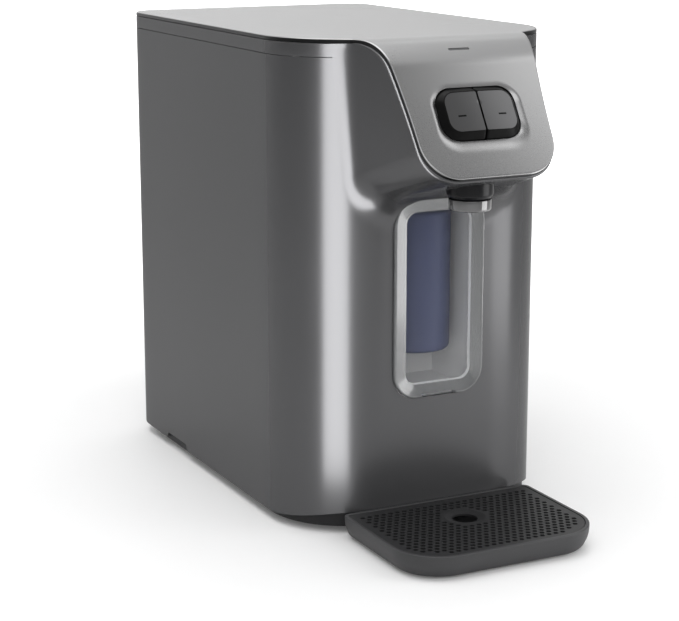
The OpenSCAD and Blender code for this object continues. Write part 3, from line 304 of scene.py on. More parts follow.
def piece(name, parts, merge=0.02 * MM, outward=True, sharp=35):
    """One mesh object from grid parts: joined, doubles merged, faces turned outwards and shaded smooth."""
    shift = np.cumsum([0] + [len(p[0]) for p in parts])
    points = np.concatenate([p[0] for p in parts])
    faces = np.concatenate([p[1] + n for p, n in zip(parts, shift)])
    uv = np.concatenate([p[2] for p in parts])
    mesh = bpy.data.meshes.new(name)
    mesh.from_pydata(points, [], faces)
    layer = mesh.uv_layers.new(name="UVMap")
    layer.data.foreach_set("uv", uv[faces.ravel()].astype(np.float32).ravel())
    work = bmesh.new()
    work.from_mesh(mesh)
    bmesh.ops.remove_doubles(work, verts=work.verts, dist=merge)
    bmesh.ops.dissolve_degenerate(work, edges=work.edges, dist=merge / 4)
    if outward:
        bmesh.ops.recalc_face_normals(work, faces=work.faces)
    work.to_mesh(mesh)
    work.free()
    obj = bpy.data.objects.new(name, mesh)
    bpy.context.scene.collection.objects.link(obj)
    smooth(obj, sharp)
    return obj


def smooth(obj, sharp):
    """Smooth shading, apart from edges that turn by more than sharp degrees."""
    obj.data.shade_smooth()
    obj.data.set_sharp_from_angle(angle=math.radians(sharp))


def settle(obj, sharp=35):
    """Puts the modifiers' result into the object's own mesh."""
    graph = bpy.context.evaluated_depsgraph_get()
    final = obj.evaluated_get(graph)
    mesh = bpy.data.meshes.new_from_object(final, preserve_all_data_layers=True, depsgraph=graph)
    obj.modifiers.clear()
    obj.data = mesh
    smooth(obj, sharp)


def cut_away(obj, prisms, sharp=35):
    """Takes closed prisms out of a closed piece."""
    cutter = piece("cutter", prisms)
    tool = obj.modifiers.new("openings", "BOOLEAN")
    tool.operation = "DIFFERENCE"
    tool.solver = "EXACT"
    tool.object = cutter
    settle(obj, sharp)
    bpy.data.objects.remove(cutter)


def dress(obj, material, body, slot, *nodes):
    """Gives a piece its material, its body and the nodes that it stands for. The slot is not used."""
    obj.data.materials.clear()
    obj.data.materials.append(material)
    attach(obj, body)
    if nodes:
        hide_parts(*nodes)
    return obj


def loop_box(low, high, radii, steps=12):
    """Points round a box with round corners, from its lower left corner against the clock.

    Each corner is a quarter circle of its own radius about a centre set in by that radius."""
    (x0, y0), (x1, y1) = low, high
    r = np.asarray(radii, float)
    centres = np.array(
        [(x0 + r[0], y0 + r[0]), (x1 - r[1], y0 + r[1]), (x1 - r[2], y1 - r[2]), (x0 + r[3], y1 - r[3])]
    )
    turn = np.linspace(0, math.pi / 2, steps)[None, :] + (np.arange(4)[:, None] + 2) * math.pi / 2
    ring = np.stack([np.cos(turn), np.sin(turn)], -1) * r[:, None, None]
    return (centres[:, None, :] + ring).reshape(-1, 2)


def even(loop, count):
    """A closed loop with count points at equal distances along it."""
    ring = np.concatenate([loop, loop[:1]])
    run = np.concatenate([[0], np.cumsum(np.linalg.norm(np.diff(ring, axis=0), axis=-1))])
    at = np.linspace(0, run[-1], count, endpoint=False)
    return np.stack([np.interp(at, run, ring[:, k]) for k in (0, 1)], -1)


def cap(loop, shares):
    """Copies of a closed loop drawn in towards its middle, by shares from 1 down to 0."""
    middle = (loop.min(0) + loop.max(0)) / 2
    return middle + (loop - middle)[None] * np.asarray(shares, float)[:, None, None]


def arc(start, end, steps):
    """Cosines and sines of angles from start to end degrees."""
    a = np.radians(np.linspace(start, end, steps))
    return np.cos(a), np.sin(a)


def lathe(profile, x, y, steps=96):
    """A profile of (radius, height) turned about an upright axis through (x, y)."""
    profile = np.asarray(profile, float)
    turn = np.linspace(0, 2 * math.pi, steps, endpoint=False)
    ring = np.stack([np.cos(turn), np.sin(turn)], -1)
    points = np.empty((len(profile), steps, 3))
    points[..., :2] = np.array([x, y]) + profile[:, None, :1] * ring[None]
    points[..., 2] = profile[:, None, 1]
    run = np.concatenate([[0], np.cumsum(np.hypot(*np.diff(profile, axis=0).T))])
    uv = np.stack(np.broadcast_arrays(turn[None] / (2 * math.pi), (run / run[-1])[:, None]), -1)
    return sheet_part(points, wrap=True, uv=uv)


def rounded(corners, radii, steps=6):
    """An open polyline whose inner corners are cut by quadratic curves that start radii from them."""
    p = np.asarray(corners, float)
    out = [p[:1]]
    t = np.linspace(0, 1, steps)[:, None]
    for before, at, after, r in zip(p, p[1:], p[2:], radii):
        a = at + (before - at) * min(r / np.linalg.norm(before - at), 0.49)
        b = at + (after - at) * min(r / np.linalg.norm(after - at), 0.49)
        out.append((1 - t) ** 2 * a + 2 * t * (1 - t) * at + t**2 * b)
    return np.concatenate(out + [p[-1:]])


def prism(loop, place, near, far):
    """A closed prism: a loop carried from depth near to depth far, and closed at both ends.

    place(loop points, depth) gives the points' places."""
    ends = [
        np.stack([place(ring, depth) for ring in cap(loop, shares)])
        for depth, shares in ((near, (0, 1)), (far, (1, 0)))
    ]
    return sheet_part(np.concatenate(ends), wrap=True)


# Forms of the cabinet


def plan_point(s):
    """The cabinet's outline by arc length s from the middle of the front, with its outward normal.

    A straight, a quarter turn of the front radius, the side, a quarter turn of the rear radius and
    half the back; s below 0 goes round the other way."""
    z = sizes()
    fr, rr = z.front_radius, z.rear_radius
    a = np.abs(s)
    quarter = math.pi / 2
    ends = np.cumsum([HALF_W - fr, fr * quarter, BACK_Y - rr - FRONT_Y - fr, rr * quarter, HALF_W - rr])
    front_turn = np.clip((a - ends[0]) / fr, 0, quarter)
    rear_turn = np.clip((a - ends[2]) / rr, 0, quarter)
    front, back = np.clip(a, 0, ends[0]), np.clip(a - ends[3], 0, None)
    flank = np.clip(a - ends[1], 0, ends[2] - ends[1])
    x = front + fr * np.sin(front_turn) - rr * (1 - np.cos(rear_turn)) - back
    y = FRONT_Y + fr * (1 - np.cos(front_turn)) + flank + rr * np.sin(rear_turn)
    turn = front_turn + rear_turn
    side = np.where(s < 0, -1.0, 1.0)
    return side * x, y, side * np.sin(turn), -np.cos(turn)


def plan_length():
    """Arc length of half the cabinet's outline."""
    z = sizes()
    radii = z.front_radius + z.rear_radius
    return 2 * HALF_W + BACK_Y - FRONT_Y - radii + radii * (math.pi / 2 - 1)


class Bend:
    """The cover plate's side view: the flat top, an arc of the bend's radius and the leaning fascia."""

    def __init__(self):
        z = sizes()
        self.turn = math.pi / 2 - z.hood_tilt
        self.radius = z.bend_radius
        tip_y = FRONT_Y - z.hood_reach
        run = self.radius * math.tan(self.turn / 2)
        slope = (TOP_Z - HOOD_Z) / math.cos(z.hood_tilt)
        self.start = BACK_Y - (tip_y + (TOP_Z - HOOD_Z) * math.tan(z.hood_tilt) + run)
        self.fascia = self.start + self.radius * self.turn
        self.tip = self.fascia + slope - run

    def at(self, x, t, depth=0.0):
        """The place at t along the plate from its rear edge, x across it and depth under its face."""
        turn = np.clip((t - self.start) / self.radius, 0, self.turn)
        down = np.clip(t - self.fascia, 0, None)
        y = BACK_Y - np.minimum(t, self.start) - self.radius * np.sin(turn) - down * np.cos(turn)
        z = TOP_Z - self.radius * (1 - np.cos(turn)) - down * np.sin(turn)
        return np.stack(np.broadcast_arrays(x, y + depth * np.sin(turn), z - depth * np.cos(turn)), -1)

    def y(self, t):
        return self.at(0.0, t)[..., 1]


def hood_half(y):
    """Half the hood's width at depth y: it widens from its tip to its root by the square of the distance."""
    z = sizes()
    share = (y - FRONT_Y) / z.hood_reach + 1
    return z.tip_half + (z.root_half - z.tip_half) * share**2


def fascia_corner():
    """Centre (x, height up the fascia), end angle and end height of the fascia's lower corner."""
    z = sizes()
    up = z.fascia_edge + z.fascia_corner
    rise = math.sin(z.hood_tilt)
    lean = math.atan(2 * (z.root_half - z.tip_half) * up * (rise / z.hood_reach) ** 2)
    touch = up - z.fascia_corner * math.sin(lean)
    edge = hood_half(FRONT_Y - z.hood_reach + touch * rise)
    return edge - z.fascia_corner * math.cos(lean), up, -lean, touch


def plate_half(t, bend, inset):
    """Half the cover plate's width at t: the cabinet's outline and the hood's, smoothly joined.

    The join is the polynomial smooth maximum of the two widths; the fascia's lower corners are arcs."""
    z = sizes()
    y = bend.y(t)
    rr, fr = z.rear_radius, z.front_radius
    body = np.full_like(t, HALF_W - inset)
    rear = HALF_W - rr + np.sqrt(np.clip((rr - inset) ** 2 - (rr - t) ** 2, 0, None))
    front = HALF_W - fr + np.sqrt(np.clip((fr - inset) ** 2 - (FRONT_Y + fr - y) ** 2, 0, None))
    body = np.where(t < rr, rear, np.where(y < FRONT_Y + fr, front, body))
    hood = np.where(y < FRONT_Y + fr / 2, hood_half(y) - inset, -1.0)
    near = np.clip(JOIN_REACH - np.abs(body - hood), 0, None)
    width = np.maximum(body, hood) + near**2 / (4 * JOIN_REACH)
    x, up, _, touch = fascia_corner()
    v = bend.tip - t
    low = x + np.sqrt(np.clip((z.fascia_corner - inset) ** 2 - (up - v) ** 2, 0, None))
    return np.where(v < touch, low, width)


def fascia_place(uv, depth):
    """A point (x, height above the keys' middle) of the fascia, depth under its face."""
    bend = Bend()
    return bend.at(uv[..., 0], bend.tip - sizes().key_rise - uv[..., 1], depth)


def front_place(xz, depth):
    """A point (x, z) of the front face, depth behind it."""
    return np.stack([xz[..., 0], np.full(xz.shape[:-1], FRONT_Y + depth), xz[..., 1]], -1)


def rear_place(xz, depth):
    """A point (x, z) of the back, depth in front of it."""
    return np.stack([xz[..., 0], np.full(xz.shape[:-1], BACK_Y - depth), xz[..., 1]], -1)


def side_place(yz, x):
    """A point (y, z) at x, for prisms across the cabinet."""
    return np.stack([np.full(yz.shape[:-1], x), yz[..., 0], yz[..., 1]], -1)


def u_line(top_half, lean, bottom, corner):
    """Half a U on the front face in (s, z): a flat bottom, a round corner and a leaning side."""
    z = sizes()
    straight = HALF_W - z.front_radius
    top_s = straight + z.front_radius * math.asin((top_half - straight) / z.front_radius)
    low_s, low_z = top_s - lean - corner, bottom + corner
    turn = np.linspace(-math.pi / 2, 0, CORNER_STEPS)[1:]
    climb = np.concatenate(
        [np.linspace(low_z, SEAM_Z, SIDE_STEPS)[1:], np.linspace(SEAM_Z, BAND_HIGH.z, TOP_STEPS)[1:]]
    )
    share = (climb - low_z) / (BAND_HIGH.z - low_z)
    s = [np.linspace(0, low_s, FLAT_STEPS), low_s + corner * np.cos(turn), top_s - lean * (1 - share)]
    h = [np.full(FLAT_STEPS, bottom), low_z + corner * np.sin(turn), climb]
    return np.concatenate(s), np.concatenate(h)


def rim_line():
    """The fascia's edge as (x, t) with its outward direction, in step with u_line()."""
    z, bend = sizes(), Bend()
    x, up, end, touch = fascia_corner()
    turn = np.linspace(-math.pi / 2, end, CORNER_STEPS)[1:]
    count = SIDE_STEPS + TOP_STEPS - 2
    v = np.linspace(touch, bend.tip - bend.start, count + 1)[1:]
    side_x = hood_half(bend.y(bend.tip - v))
    rim_x = [np.linspace(0, x, FLAT_STEPS), x + z.fascia_corner * np.cos(turn), side_x]
    rim_v = [np.full(FLAT_STEPS, z.fascia_edge), up + z.fascia_corner * np.sin(turn), v]
    way = np.concatenate([np.full(FLAT_STEPS, -math.pi / 2), turn, np.full(count, end)])
    return np.concatenate(rim_x), bend.tip - np.concatenate(rim_v), np.cos(way), -np.sin(way)


def bezier(a, b, c, steps):
    """Rows of quadratic curves from a by way of b to c."""
    t = np.linspace(0, 1, steps)[:, None, None]
    return (1 - t) ** 2 * a + 2 * t * (1 - t) * b + t**2 * c


def on_cabinet(s, z):
    """The place on the cabinet's outer face at arc length s and height z, drawn in round the heel."""
    size = sizes()
    x, y, _, _ = plan_point(s)
    drop = np.clip(SHELL_Z + size.heel_radius - z, 0, size.heel_radius)
    heel = BACK_Y - size.heel_radius + np.sqrt(size.heel_radius**2 - drop**2)
    return np.stack([x, np.minimum(y, heel), z], -1)


def ease(a):
    """The smooth step 3a^2 - 2a^3, held at 0 and 1."""
    a = np.clip(a, 0, 1)
    return a * a * (3 - 2 * a)


def foot_line():
    """The foot of the hollow under the hood, on the front face in (s, z)."""
    z = sizes()
    return u_line(z.hollow_half, HOLLOW_LEAN, HOOD_Z - z.hollow_drop, z.hollow_corner)


def hood_grid():
    """The hood: for each point of the U, a curve from under the plate's edge round the lip, straight back
    along the hood's wall and out through a hollow onto the front face."""
    z, bend = sizes(), Bend()
    rim_x, rim_t, out_x, out_t = rim_line()
    lip = LIP_SIDE + (LIP_LOW - LIP_SIDE) * ease(out_t)

    def rim(shift, depth):
        return bend.at(rim_x + shift * out_x, rim_t + shift * out_t, depth)

    start = rim(-LIP_UNDER, PLATE_T + SEAT_GAP)
    turn = rim(lip, PLATE_T * LIP_LEVEL)
    crease = on_cabinet(*u_line(z.crease_half, CREASE_LEAN, HOOD_Z - z.crease_drop, z.crease_corner))
    foot = on_cabinet(*foot_line())
    reach = np.linalg.norm(crease - turn, axis=-1)
    hollow = np.minimum(np.linalg.norm(foot - crease, axis=-1), HOLLOW_SHARE * reach)
    forward = (turn - crease) / reach[:, None]
    soft = turn - forward * np.minimum(LIP_SHARE * reach, LIP_SOFT)[:, None]
    wall_end = crease + forward * hollow[:, None]
    along = np.linspace(0, 1, 10)[1:-1, None, None]
    wall = soft + along * (wall_end - soft)
    return np.concatenate([bezier(start, turn, soft, 8), wall, bezier(wall_end, crease, foot, 16)])


def front_grid():
    """The front: straight lines in (s, z) from the foot of the hollow under the hood to the bottom edge
    or to an upright line on the side."""
    seam = FLAT_STEPS + CORNER_STEPS + SIDE_STEPS - 2
    foot_s, foot_z = (line[None, :seam] for line in foot_line())
    heights = side_heights()
    low_s = np.linspace(0, SIDE_START, seam - len(heights) + 1)[:-1]
    far_s = np.concatenate([low_s, np.full(len(heights), SIDE_START)])
    far_z = np.concatenate([bottom_edge(low_s), heights])
    share = np.linspace(0, 1, 100)[:, None]
    return on_cabinet(foot_s * (1 - share) + far_s * share, foot_z * (1 - share) + far_z * share)


def rear_grid():
    """The side and the back: a plain grid in (s, z) from the upright line on the side to the middle of
    the back."""
    rear_radius = sizes().rear_radius
    back_start = plan_length() - HALF_W + rear_radius
    turn_start = back_start - rear_radius * math.pi / 2
    s = np.concatenate(
        [
            np.linspace(SIDE_START, turn_start, 26)[:-1],
            np.linspace(turn_start, back_start, 16)[:-1],
            np.linspace(back_start, plan_length(), 12),
        ]
    )
    return on_cabinet(*np.broadcast_arrays(s[:, None], side_heights()[None]))


def cabinet_parts():
    """The skin: grids of the hood, the front, and the side and back, that share edges."""
    rear = rear_grid()
    return [
        sheet_part(mirrored(hood_grid()), flip=True),
        sheet_part(mirrored(front_grid()), flip=True),
        sheet_part(rear, flip=True),
        sheet_part(rear * MIRROR),
    ]


def side_heights():
    """Heights of the side's grid lines: close together round the heel, then even up to the seam."""
    heel = sizes().heel_radius
    low = SHELL_Z + heel * (1 - np.cos(np.linspace(0, math.pi / 2, 9)))
    return np.concatenate([low, np.linspace(SHELL_Z + heel, SEAM_Z, 34)[1:]])


def bottom_edge(s):
    """Height of the skin's bottom edge: it comes down smoothly from the front to the side."""
    z = sizes()
    return SHELL_Z + (z.plinth - SHELL_Z) * (1 - ease((s - APRON_START) / (SIDE_START - APRON_START)))


def mirrored(rows):
    """Rows from the middle outwards, with the same rows on the other side of x = 0 before them."""
    return np.concatenate([rows[:, :0:-1] * MIRROR, rows], axis=1)


def window_loop(grow, steps=16):
    """The window's outline in (x, z), grown by grow."""
    low = (WINDOW_LOW.x - grow, WINDOW_LOW.z - grow)
    high = (WINDOW_HIGH.x + grow, WINDOW_HIGH.z + grow)
    return loop_box(low, high, [sizes().window_corner + grow] * 4, steps)


def distance_outside_keys(x, v):
    """Distance from the outline of the pair of keys, that of a box with round corners, and how far
    its direction points upwards, from -1 to 1."""
    z = sizes()
    r = z.key_corner
    qx = np.abs(x) - (z.key_width + KEY_SPLIT / 2 - r)
    qv = np.abs(v) - (z.key_height / 2 - r)
    away = np.hypot(np.clip(qx, 0, None), np.clip(qv, 0, None))
    rise = np.sign(v) * np.clip(qv, 0, None) / np.maximum(away, 1e-9)
    return away + np.minimum(np.maximum(qx, qv), 0) - r, rise


def plate_rows(bend, inset):
    """Places t of the rows across the cover plate: closer together where its outline turns."""
    z = sizes()
    front_t = BACK_Y - FRONT_Y - z.front_radius
    join_t = BACK_Y - FRONT_Y - JOIN_REACH
    end = bend.tip - z.fascia_edge - inset
    low = bend.tip - z.fascia_edge - z.fascia_corner
    return np.concatenate(
        [
            z.rear_radius - (z.rear_radius - inset) * arc(0, 90, 12)[0],
            np.linspace(z.rear_radius, front_t, 26)[1:],
            front_t + (join_t - front_t) * arc(0, 90, 24)[1][1:],
            np.linspace(join_t, bend.start, 14)[1:],
            np.linspace(bend.start, bend.fascia, 26)[1:],
            np.linspace(bend.fascia, low, 90)[1:],
            low + (end - low) * arc(0, 90, 40)[1][1:],
        ]
    )


def dish(bend, x, t):
    """Depth of the dish round the keys: a parabola of the distance from their outline, widest below."""
    z = sizes()
    outside, rise = distance_outside_keys(x, bend.tip - z.key_rise - t)
    below, above = ease(-rise), ease(rise)
    reach = z.dish_rim * (DISH_SIDE + (1 - DISH_SIDE) * below - (DISH_SIDE - DISH_ABOVE) * above)
    depth = z.dish_depth * (1 - (1 - DISH_ABOVE_DEPTH) * above)
    return depth * (1 - np.clip((outside - KEY_GAP) / reach, 0, 1)) ** 2


def border(grid):
    """The values round the edge of a grid, in order."""
    return np.concatenate([grid[:-1, 0], grid[-1, :-1], grid[:0:-1, -1], grid[0, :0:-1]])


def plate_rim(bend, x, t):
    """The cover plate's rim: its outline carried outwards over the rounded edge, down and back under.

    UV.y is 1 on the outer edge, from partway round its rounding down to its bevel, where the finish paints
    shade."""
    r = sizes().plate_round
    inset = r + PLATE_FLAT
    loop = np.stack([border(x), border(t)], -1)
    step = np.roll(loop, -1, axis=0) - np.roll(loop, 1, axis=0)
    step /= np.linalg.norm(step, axis=-1, keepdims=True)
    out = np.stack([-step[:, 1], step[:, 0]], -1)
    c, s = arc(90, 0, 8)
    offset = np.concatenate([[0, PLATE_FLAT / 2], inset - r + r * c, [inset, inset - PLATE_BEVEL, 0]])
    depth = np.concatenate([[0, 0], r - r * s, [PLATE_T - PLATE_BEVEL, PLATE_T, PLATE_T]])
    rim = loop + offset[:, None, None] * out
    # Rows of the edge whose silver is painted dark, as painted shade
    edge = np.zeros(rim.shape)
    edge[RIM_SHADE_ROW:-1, :, 1] = 1
    return sheet_part(bend.at(rim[..., 0], rim[..., 1], depth[:, None]), wrap=True, uv=edge)


def cover_parts():
    """The cover plate: rows across the bent sheet, the same rows below and a rim carried round them."""
    bend = Bend()
    inset = sizes().plate_round + PLATE_FLAT
    rows = plate_rows(bend, inset)
    x = plate_half(rows, bend, inset)[:, None] * np.linspace(-1, 1, 171)[None]
    t = np.broadcast_to(rows[:, None], x.shape)
    sunk = dish(bend, x, t)
    upper, lower = bend.at(x, t, sunk), bend.at(x, t, sunk + PLATE_T)
    return [sheet_part(upper), sheet_part(lower, flip=True), plate_rim(bend, x, t)]


def key_parts(side):
    """One key in the fascia's frame: loops of its outline carried up the side, over the chamfer and
    in over the top; the pair's tops are crowned by a parabola of the distance from the split."""
    z = sizes()
    inner, outer = KEY_SPLIT / 2, KEY_SPLIT / 2 + z.key_width
    edge, top = z.key_chamfer, z.key_proud
    profile = rounded(
        [(0, -KEY_DEEP), (0, top - edge), (edge, top), (edge + KEY_FLAT, top)], [0.5 * MM, 0.35 * MM], 5
    )

    def ring(draw):
        r = max(z.key_corner - draw, KEY_INNER_CORNER)
        half = z.key_height / 2 - draw
        low, high = (inner + draw * KEY_INNER_DRAW, -half), (outer - draw, half)
        return even(loop_box(low, high, [KEY_INNER_CORNER, r, r, KEY_INNER_CORNER], 10), 120)

    rings = np.stack([ring(d) for d, _ in profile])
    shares = np.linspace(1, 0, 9)[1:]
    lid = cap(rings[-1], shares)
    flat = np.concatenate([rings, lid])
    height = np.concatenate([profile[:, 1], np.full(len(shares), top)])[:, None]
    height = height - KEY_CROWN * (flat[..., 0] / z.key_width) ** 2
    flat[..., 0] *= side
    points = fascia_place(flat, -height)
    middle = side * (inner + outer) / 2
    uv = np.stack([(flat[..., 0] - middle) / z.key_width + 0.5, flat[..., 1] / z.key_height + 0.5], -1)
    uv[: len(profile) - 1, :, 1] += KEY_SIDE_MARK
    return [sheet_part(points, wrap=True, uv=uv)]


def window_parts():
    """The clear window: loops of its outline from the middle of the pane out over a small step and up
    the sloping rim, over its edge, back along its side and in again behind. UV.y is the way in, and
    UV.x is 1 on the step."""
    z = sizes()
    front, back = WINDOW_LOW.y, FRONT_Y + z.wall
    rim = z.window_rim
    pane = FRONT_Y + PANE_SET_IN
    line = rounded(
        [
            (rim + PANE_LAP, pane),
            (rim, pane),
            (rim - STEP_LEAN, FRONT_Y - RIM_PROUD),
            (WINDOW_BEVEL[0], front),
            (0, front + WINDOW_BEVEL[1]),
            (0, back),
            (rim, back),
            (rim + PANE_LAP, back),
        ],
        [0.2 * MM, 0.3 * MM, 0.8 * MM, 0.6 * MM, 0.4 * MM, 1 * MM],
        6,
    )
    rings = np.stack([window_loop(-d) for d, _ in line])
    first, last = cap(rings[0], [0, 0.5, 0.9]), cap(rings[-1], [0.9, 0.5, 0])
    flat = np.concatenate([first, rings, last])
    depth = np.concatenate([[pane] * 3, line[:, 1], [back] * 3])
    inset = np.concatenate([[1, 1, 1], np.clip(line[:, 0] / rim, 0, 1), [1, 1, 1]])
    points = np.stack([flat[..., 0], np.broadcast_to(depth[:, None], flat.shape[:2]), flat[..., 1]], -1)
    step = np.zeros(len(flat))
    step[STEP_ROWS] = 1
    uv = np.broadcast_to(np.stack([step, inset], -1)[:, None], (*flat.shape[:2], 2))
    return [sheet_part(points, wrap=True, uv=uv)]


def tray_loop(side, rear, steps=16):
    """The tray's outline seen from above, drawn in by side at the front and sides and by rear behind."""
    z = sizes()
    back = FRONT_Y - TRAY_GAP - rear
    front_r, rear_r = z.tray_corner - side, max(TRAY_REAR_R - rear, TRAY_LEAST_R)
    half = TRAY_HIGH.x - side
    return loop_box((-half, TRAY_LOW.y + side), (half, back), [front_r, front_r, rear_r, rear_r], steps)


def tray_parts():
    """The drip tray: its outline carried in from the middle of the bottom, out over the rounded lower
    edge, up the leaning wall, over the rim, down to the ledge and into the basin."""
    z = sizes()
    top, low, flare = TRAY_HIGH.z, TRAY_LOW.z, z.tray_flare
    ledge, floor = GRILLE_LOW.z, low + TRAY_FLOOR
    line = rounded(
        [
            (flare + TRAY_FOOT[0], low, TRAY_FOOT[1]),
            (flare, low, 0),
            (TRAY_LEAN, top - TRAY_SKIRT, 0),
            (0, top, 0),
            (TRAY_RIM, top, TRAY_RIM),
            (TRAY_RIM, ledge, TRAY_RIM),
            (TRAY_LEDGE, ledge, TRAY_LEDGE),
            (flare + TRAY_BASIN[0], floor, TRAY_BASIN[1]),
            (flare + TRAY_INNER[0], floor, TRAY_INNER[1]),
        ],
        TRAY_ROUNDS,
    )
    rings = np.stack([tray_loop(side, rear) for side, _, rear in line])
    flat = np.concatenate([cap(rings[0], [0, 0.6]), rings, cap(rings[-1], [0.6, 0])])
    height = np.concatenate([[low] * 2, line[:, 1], [floor] * 2])
    points = np.concatenate([flat, np.broadcast_to(height[:, None, None], flat.shape[:2] + (1,))], -1)
    return [sheet_part(points, wrap=True)] + [tongue(side) for side in (-1, 1)]


def tongue(side):
    """A tongue that slots into the plinth: a small box with round edges, carried backwards."""
    x = side * TONGUE_X
    low, high = TONGUE_Z
    loop = loop_box((x - TONGUE_HALF, low), (x + TONGUE_HALF, high), [TONGUE_CORNER] * 4, 4)
    return prism(loop, front_place, -TONGUE_ROOT, TRAY_HIGH.y - FRONT_Y)


# Materials

# Colours that go with one part of a finish
# Painted shade: near black on the cover plate's outer edge below its rounding
PLATE_EDGE_SHADE = (0.03, 0.03, 0.031, 1)
KEY_TOP = (0.13, 0.13, 0.132)
KEY_SIDE = (0.005, 0.005, 0.005, 1)
# Painted highlight: near white on the window's step
STEP_HIGHLIGHT = (0.9, 0.905, 0.91, 1)
DOT_COLOUR = (0.2, 0.22, 0.33, 1)
# The keys' printed dash: middle and half size, across and up, as shares of the key
DASH = ((0.5, 0.1), (0.42, 0.016))
# UV.y from which a key's surface is its side
KEY_SIDE_FROM = 1.6
# Dots round and along the cartridge
DOT_COUNTS = (96.0, 104.0, 1.0)


def node(tree, kind, **values):
    """A shader node with its sockets or fields set."""
    made = tree.nodes.new(kind)
    for name, value in values.items():
        if hasattr(made, name) and name not in made.inputs:
            setattr(made, name, value)
        else:
            made.inputs[name.replace("_", " ")].default_value = value
    return made


def maths(tree, operation, *terms):
    """The result of a Math node; each term is a number or another node's output."""
    made = node(tree, "ShaderNodeMath", operation=operation)
    for socket, term in zip(made.inputs, terms):
        if isinstance(term, bpy.types.NodeSocket):
            tree.links.new(term, socket)
        else:
            socket.default_value = term
    return made.outputs[0]


def ranged(tree, value, start, end, low, high, kind="LINEAR"):
    """A value carried from the range start to end onto the range low to high, and held there."""
    made = node(tree, "ShaderNodeMapRange", interpolation_type=kind)
    for name, number in zip(("From Min", "From Max", "To Min", "To Max"), (start, end, low, high)):
        made.inputs[name].default_value = number
    tree.links.new(value, made.inputs["Value"])
    return made.outputs["Result"]


def uv_parts(tree):
    """The two shares of the UV map as outputs."""
    uv = tree.nodes.new("ShaderNodeUVMap")
    split = tree.nodes.new("ShaderNodeSeparateXYZ")
    tree.links.new(uv.outputs["UV"], split.inputs["Vector"])
    return split.outputs["X"], split.outputs["Y"]


def blend(material, factor, other):
    """Mixes another colour into a finish's grained colour by a factor."""
    tree = material.node_tree
    tone = node(tree, "ShaderNodeMix", data_type="RGBA")
    tone.inputs[7].default_value = other
    tree.links.new(factor, tone.inputs["Factor"])
    tree.links.new(tree.nodes["grain"].outputs["Colour"], tone.inputs[6])
    tree.links.new(tone.outputs[2], tree.nodes["Principled BSDF"].inputs["Base Color"])


def grain_group():
    """Fine grain of a moulded or painted surface: specks over a broad, faint cloud.

    Each noise is a half on average, so their sum less 1 is the grain. Tone times the grain scales the
    colour, Spread times the grain shifts the roughness, and the specks alone are the height."""
    group = bpy.data.node_groups.new("moulded_grain", "ShaderNodeTree")
    for name, kind, value in (
        ("Vector", "NodeSocketVector", (0, 0, 0)),
        ("Colour", "NodeSocketColor", (0.5, 0.5, 0.5, 1)),
        ("Roughness", "NodeSocketFloat", 0.4),
        ("Tone", "NodeSocketFloat", 0.06),
        ("Spread", "NodeSocketFloat", 0.05),
        ("Scale", "NodeSocketFloat", 1500.0),
    ):
        group.interface.new_socket(name=name, in_out="INPUT", socket_type=kind).default_value = value
    for name, kind in (("Colour", "Color"), ("Roughness", "Float"), ("Height", "Float")):
        group.interface.new_socket(name=name, in_out="OUTPUT", socket_type="NodeSocket" + kind)
    link = group.links.new
    enter = group.nodes.new("NodeGroupInput").outputs
    leave = group.nodes.new("NodeGroupOutput").inputs
    specks = node(group, "ShaderNodeTexNoise", Detail=3.0, Roughness=0.6)
    cloud = node(group, "ShaderNodeTexNoise", Scale=9.0, Detail=2.0)
    link(enter["Vector"], specks.inputs["Vector"])
    link(enter["Vector"], cloud.inputs["Vector"])
    link(enter["Scale"], specks.inputs["Scale"])
    both = maths(group, "ADD", specks.outputs["Fac"], cloud.outputs["Fac"])
    centred = maths(group, "SUBTRACT", both, 1.0)
    tinted = node(group, "ShaderNodeMix", data_type="RGBA", blend_type="MULTIPLY", Factor=1.0)
    link(enter["Colour"], tinted.inputs[6])
    link(maths(group, "MULTIPLY_ADD", centred, enter["Tone"], 1.0), tinted.inputs[7])
    link(tinted.outputs[2], leave["Colour"])
    link(maths(group, "MULTIPLY_ADD", centred, enter["Spread"], enter["Roughness"]), leave["Roughness"])
    link(specks.outputs["Fac"], leave["Height"])
    return group


def finish(name, base, roughness, scale, tone, spread, relief, **shader):
    """A grained finish: the group varies colour and roughness and its specks are the bump's height.

    Other names are sockets of the shader, with underscores for spaces. A finish is made once."""
    material = bpy.data.materials.get(name)
    if material:
        return material
    material = bpy.data.materials.new(name)
    material.use_nodes = True
    tree = material.node_tree
    link = tree.links.new
    shade = tree.nodes["Principled BSDF"]
    for socket, value in shader.items():
        shade.inputs[socket.replace("_", " ")].default_value = value
    place = tree.nodes.new("ShaderNodeTexCoord")
    made = tree.nodes.new("ShaderNodeGroup")
    made.node_tree = bpy.data.node_groups.get("moulded_grain") or grain_group()
    made.name = "grain"
    values = {"Colour": (*base, 1), "Roughness": roughness, "Tone": tone, "Spread": spread, "Scale": scale}
    for socket, value in values.items():
        made.inputs[socket].default_value = value
    bump = node(tree, "ShaderNodeBump", Strength=relief, Distance=0.1 * MM)
    link(place.outputs["Object"], made.inputs["Vector"])
    link(made.outputs["Colour"], shade.inputs["Base Color"])
    link(made.outputs["Roughness"], shade.inputs["Roughness"])
    link(made.outputs["Height"], bump.inputs["Height"])
    link(bump.outputs["Normal"], shade.inputs["Normal"])
    return material


def graphite_paint():
    base = tuple(colours().graphite)
    tint = (0.5, 0.5, 0.5, 1)
    return finish(
        "graphite_satin_paint", base, 0.25, 2600, 0.1, 0.04, 0.02, Metallic=0.55, Specular_Tint=tint
    )


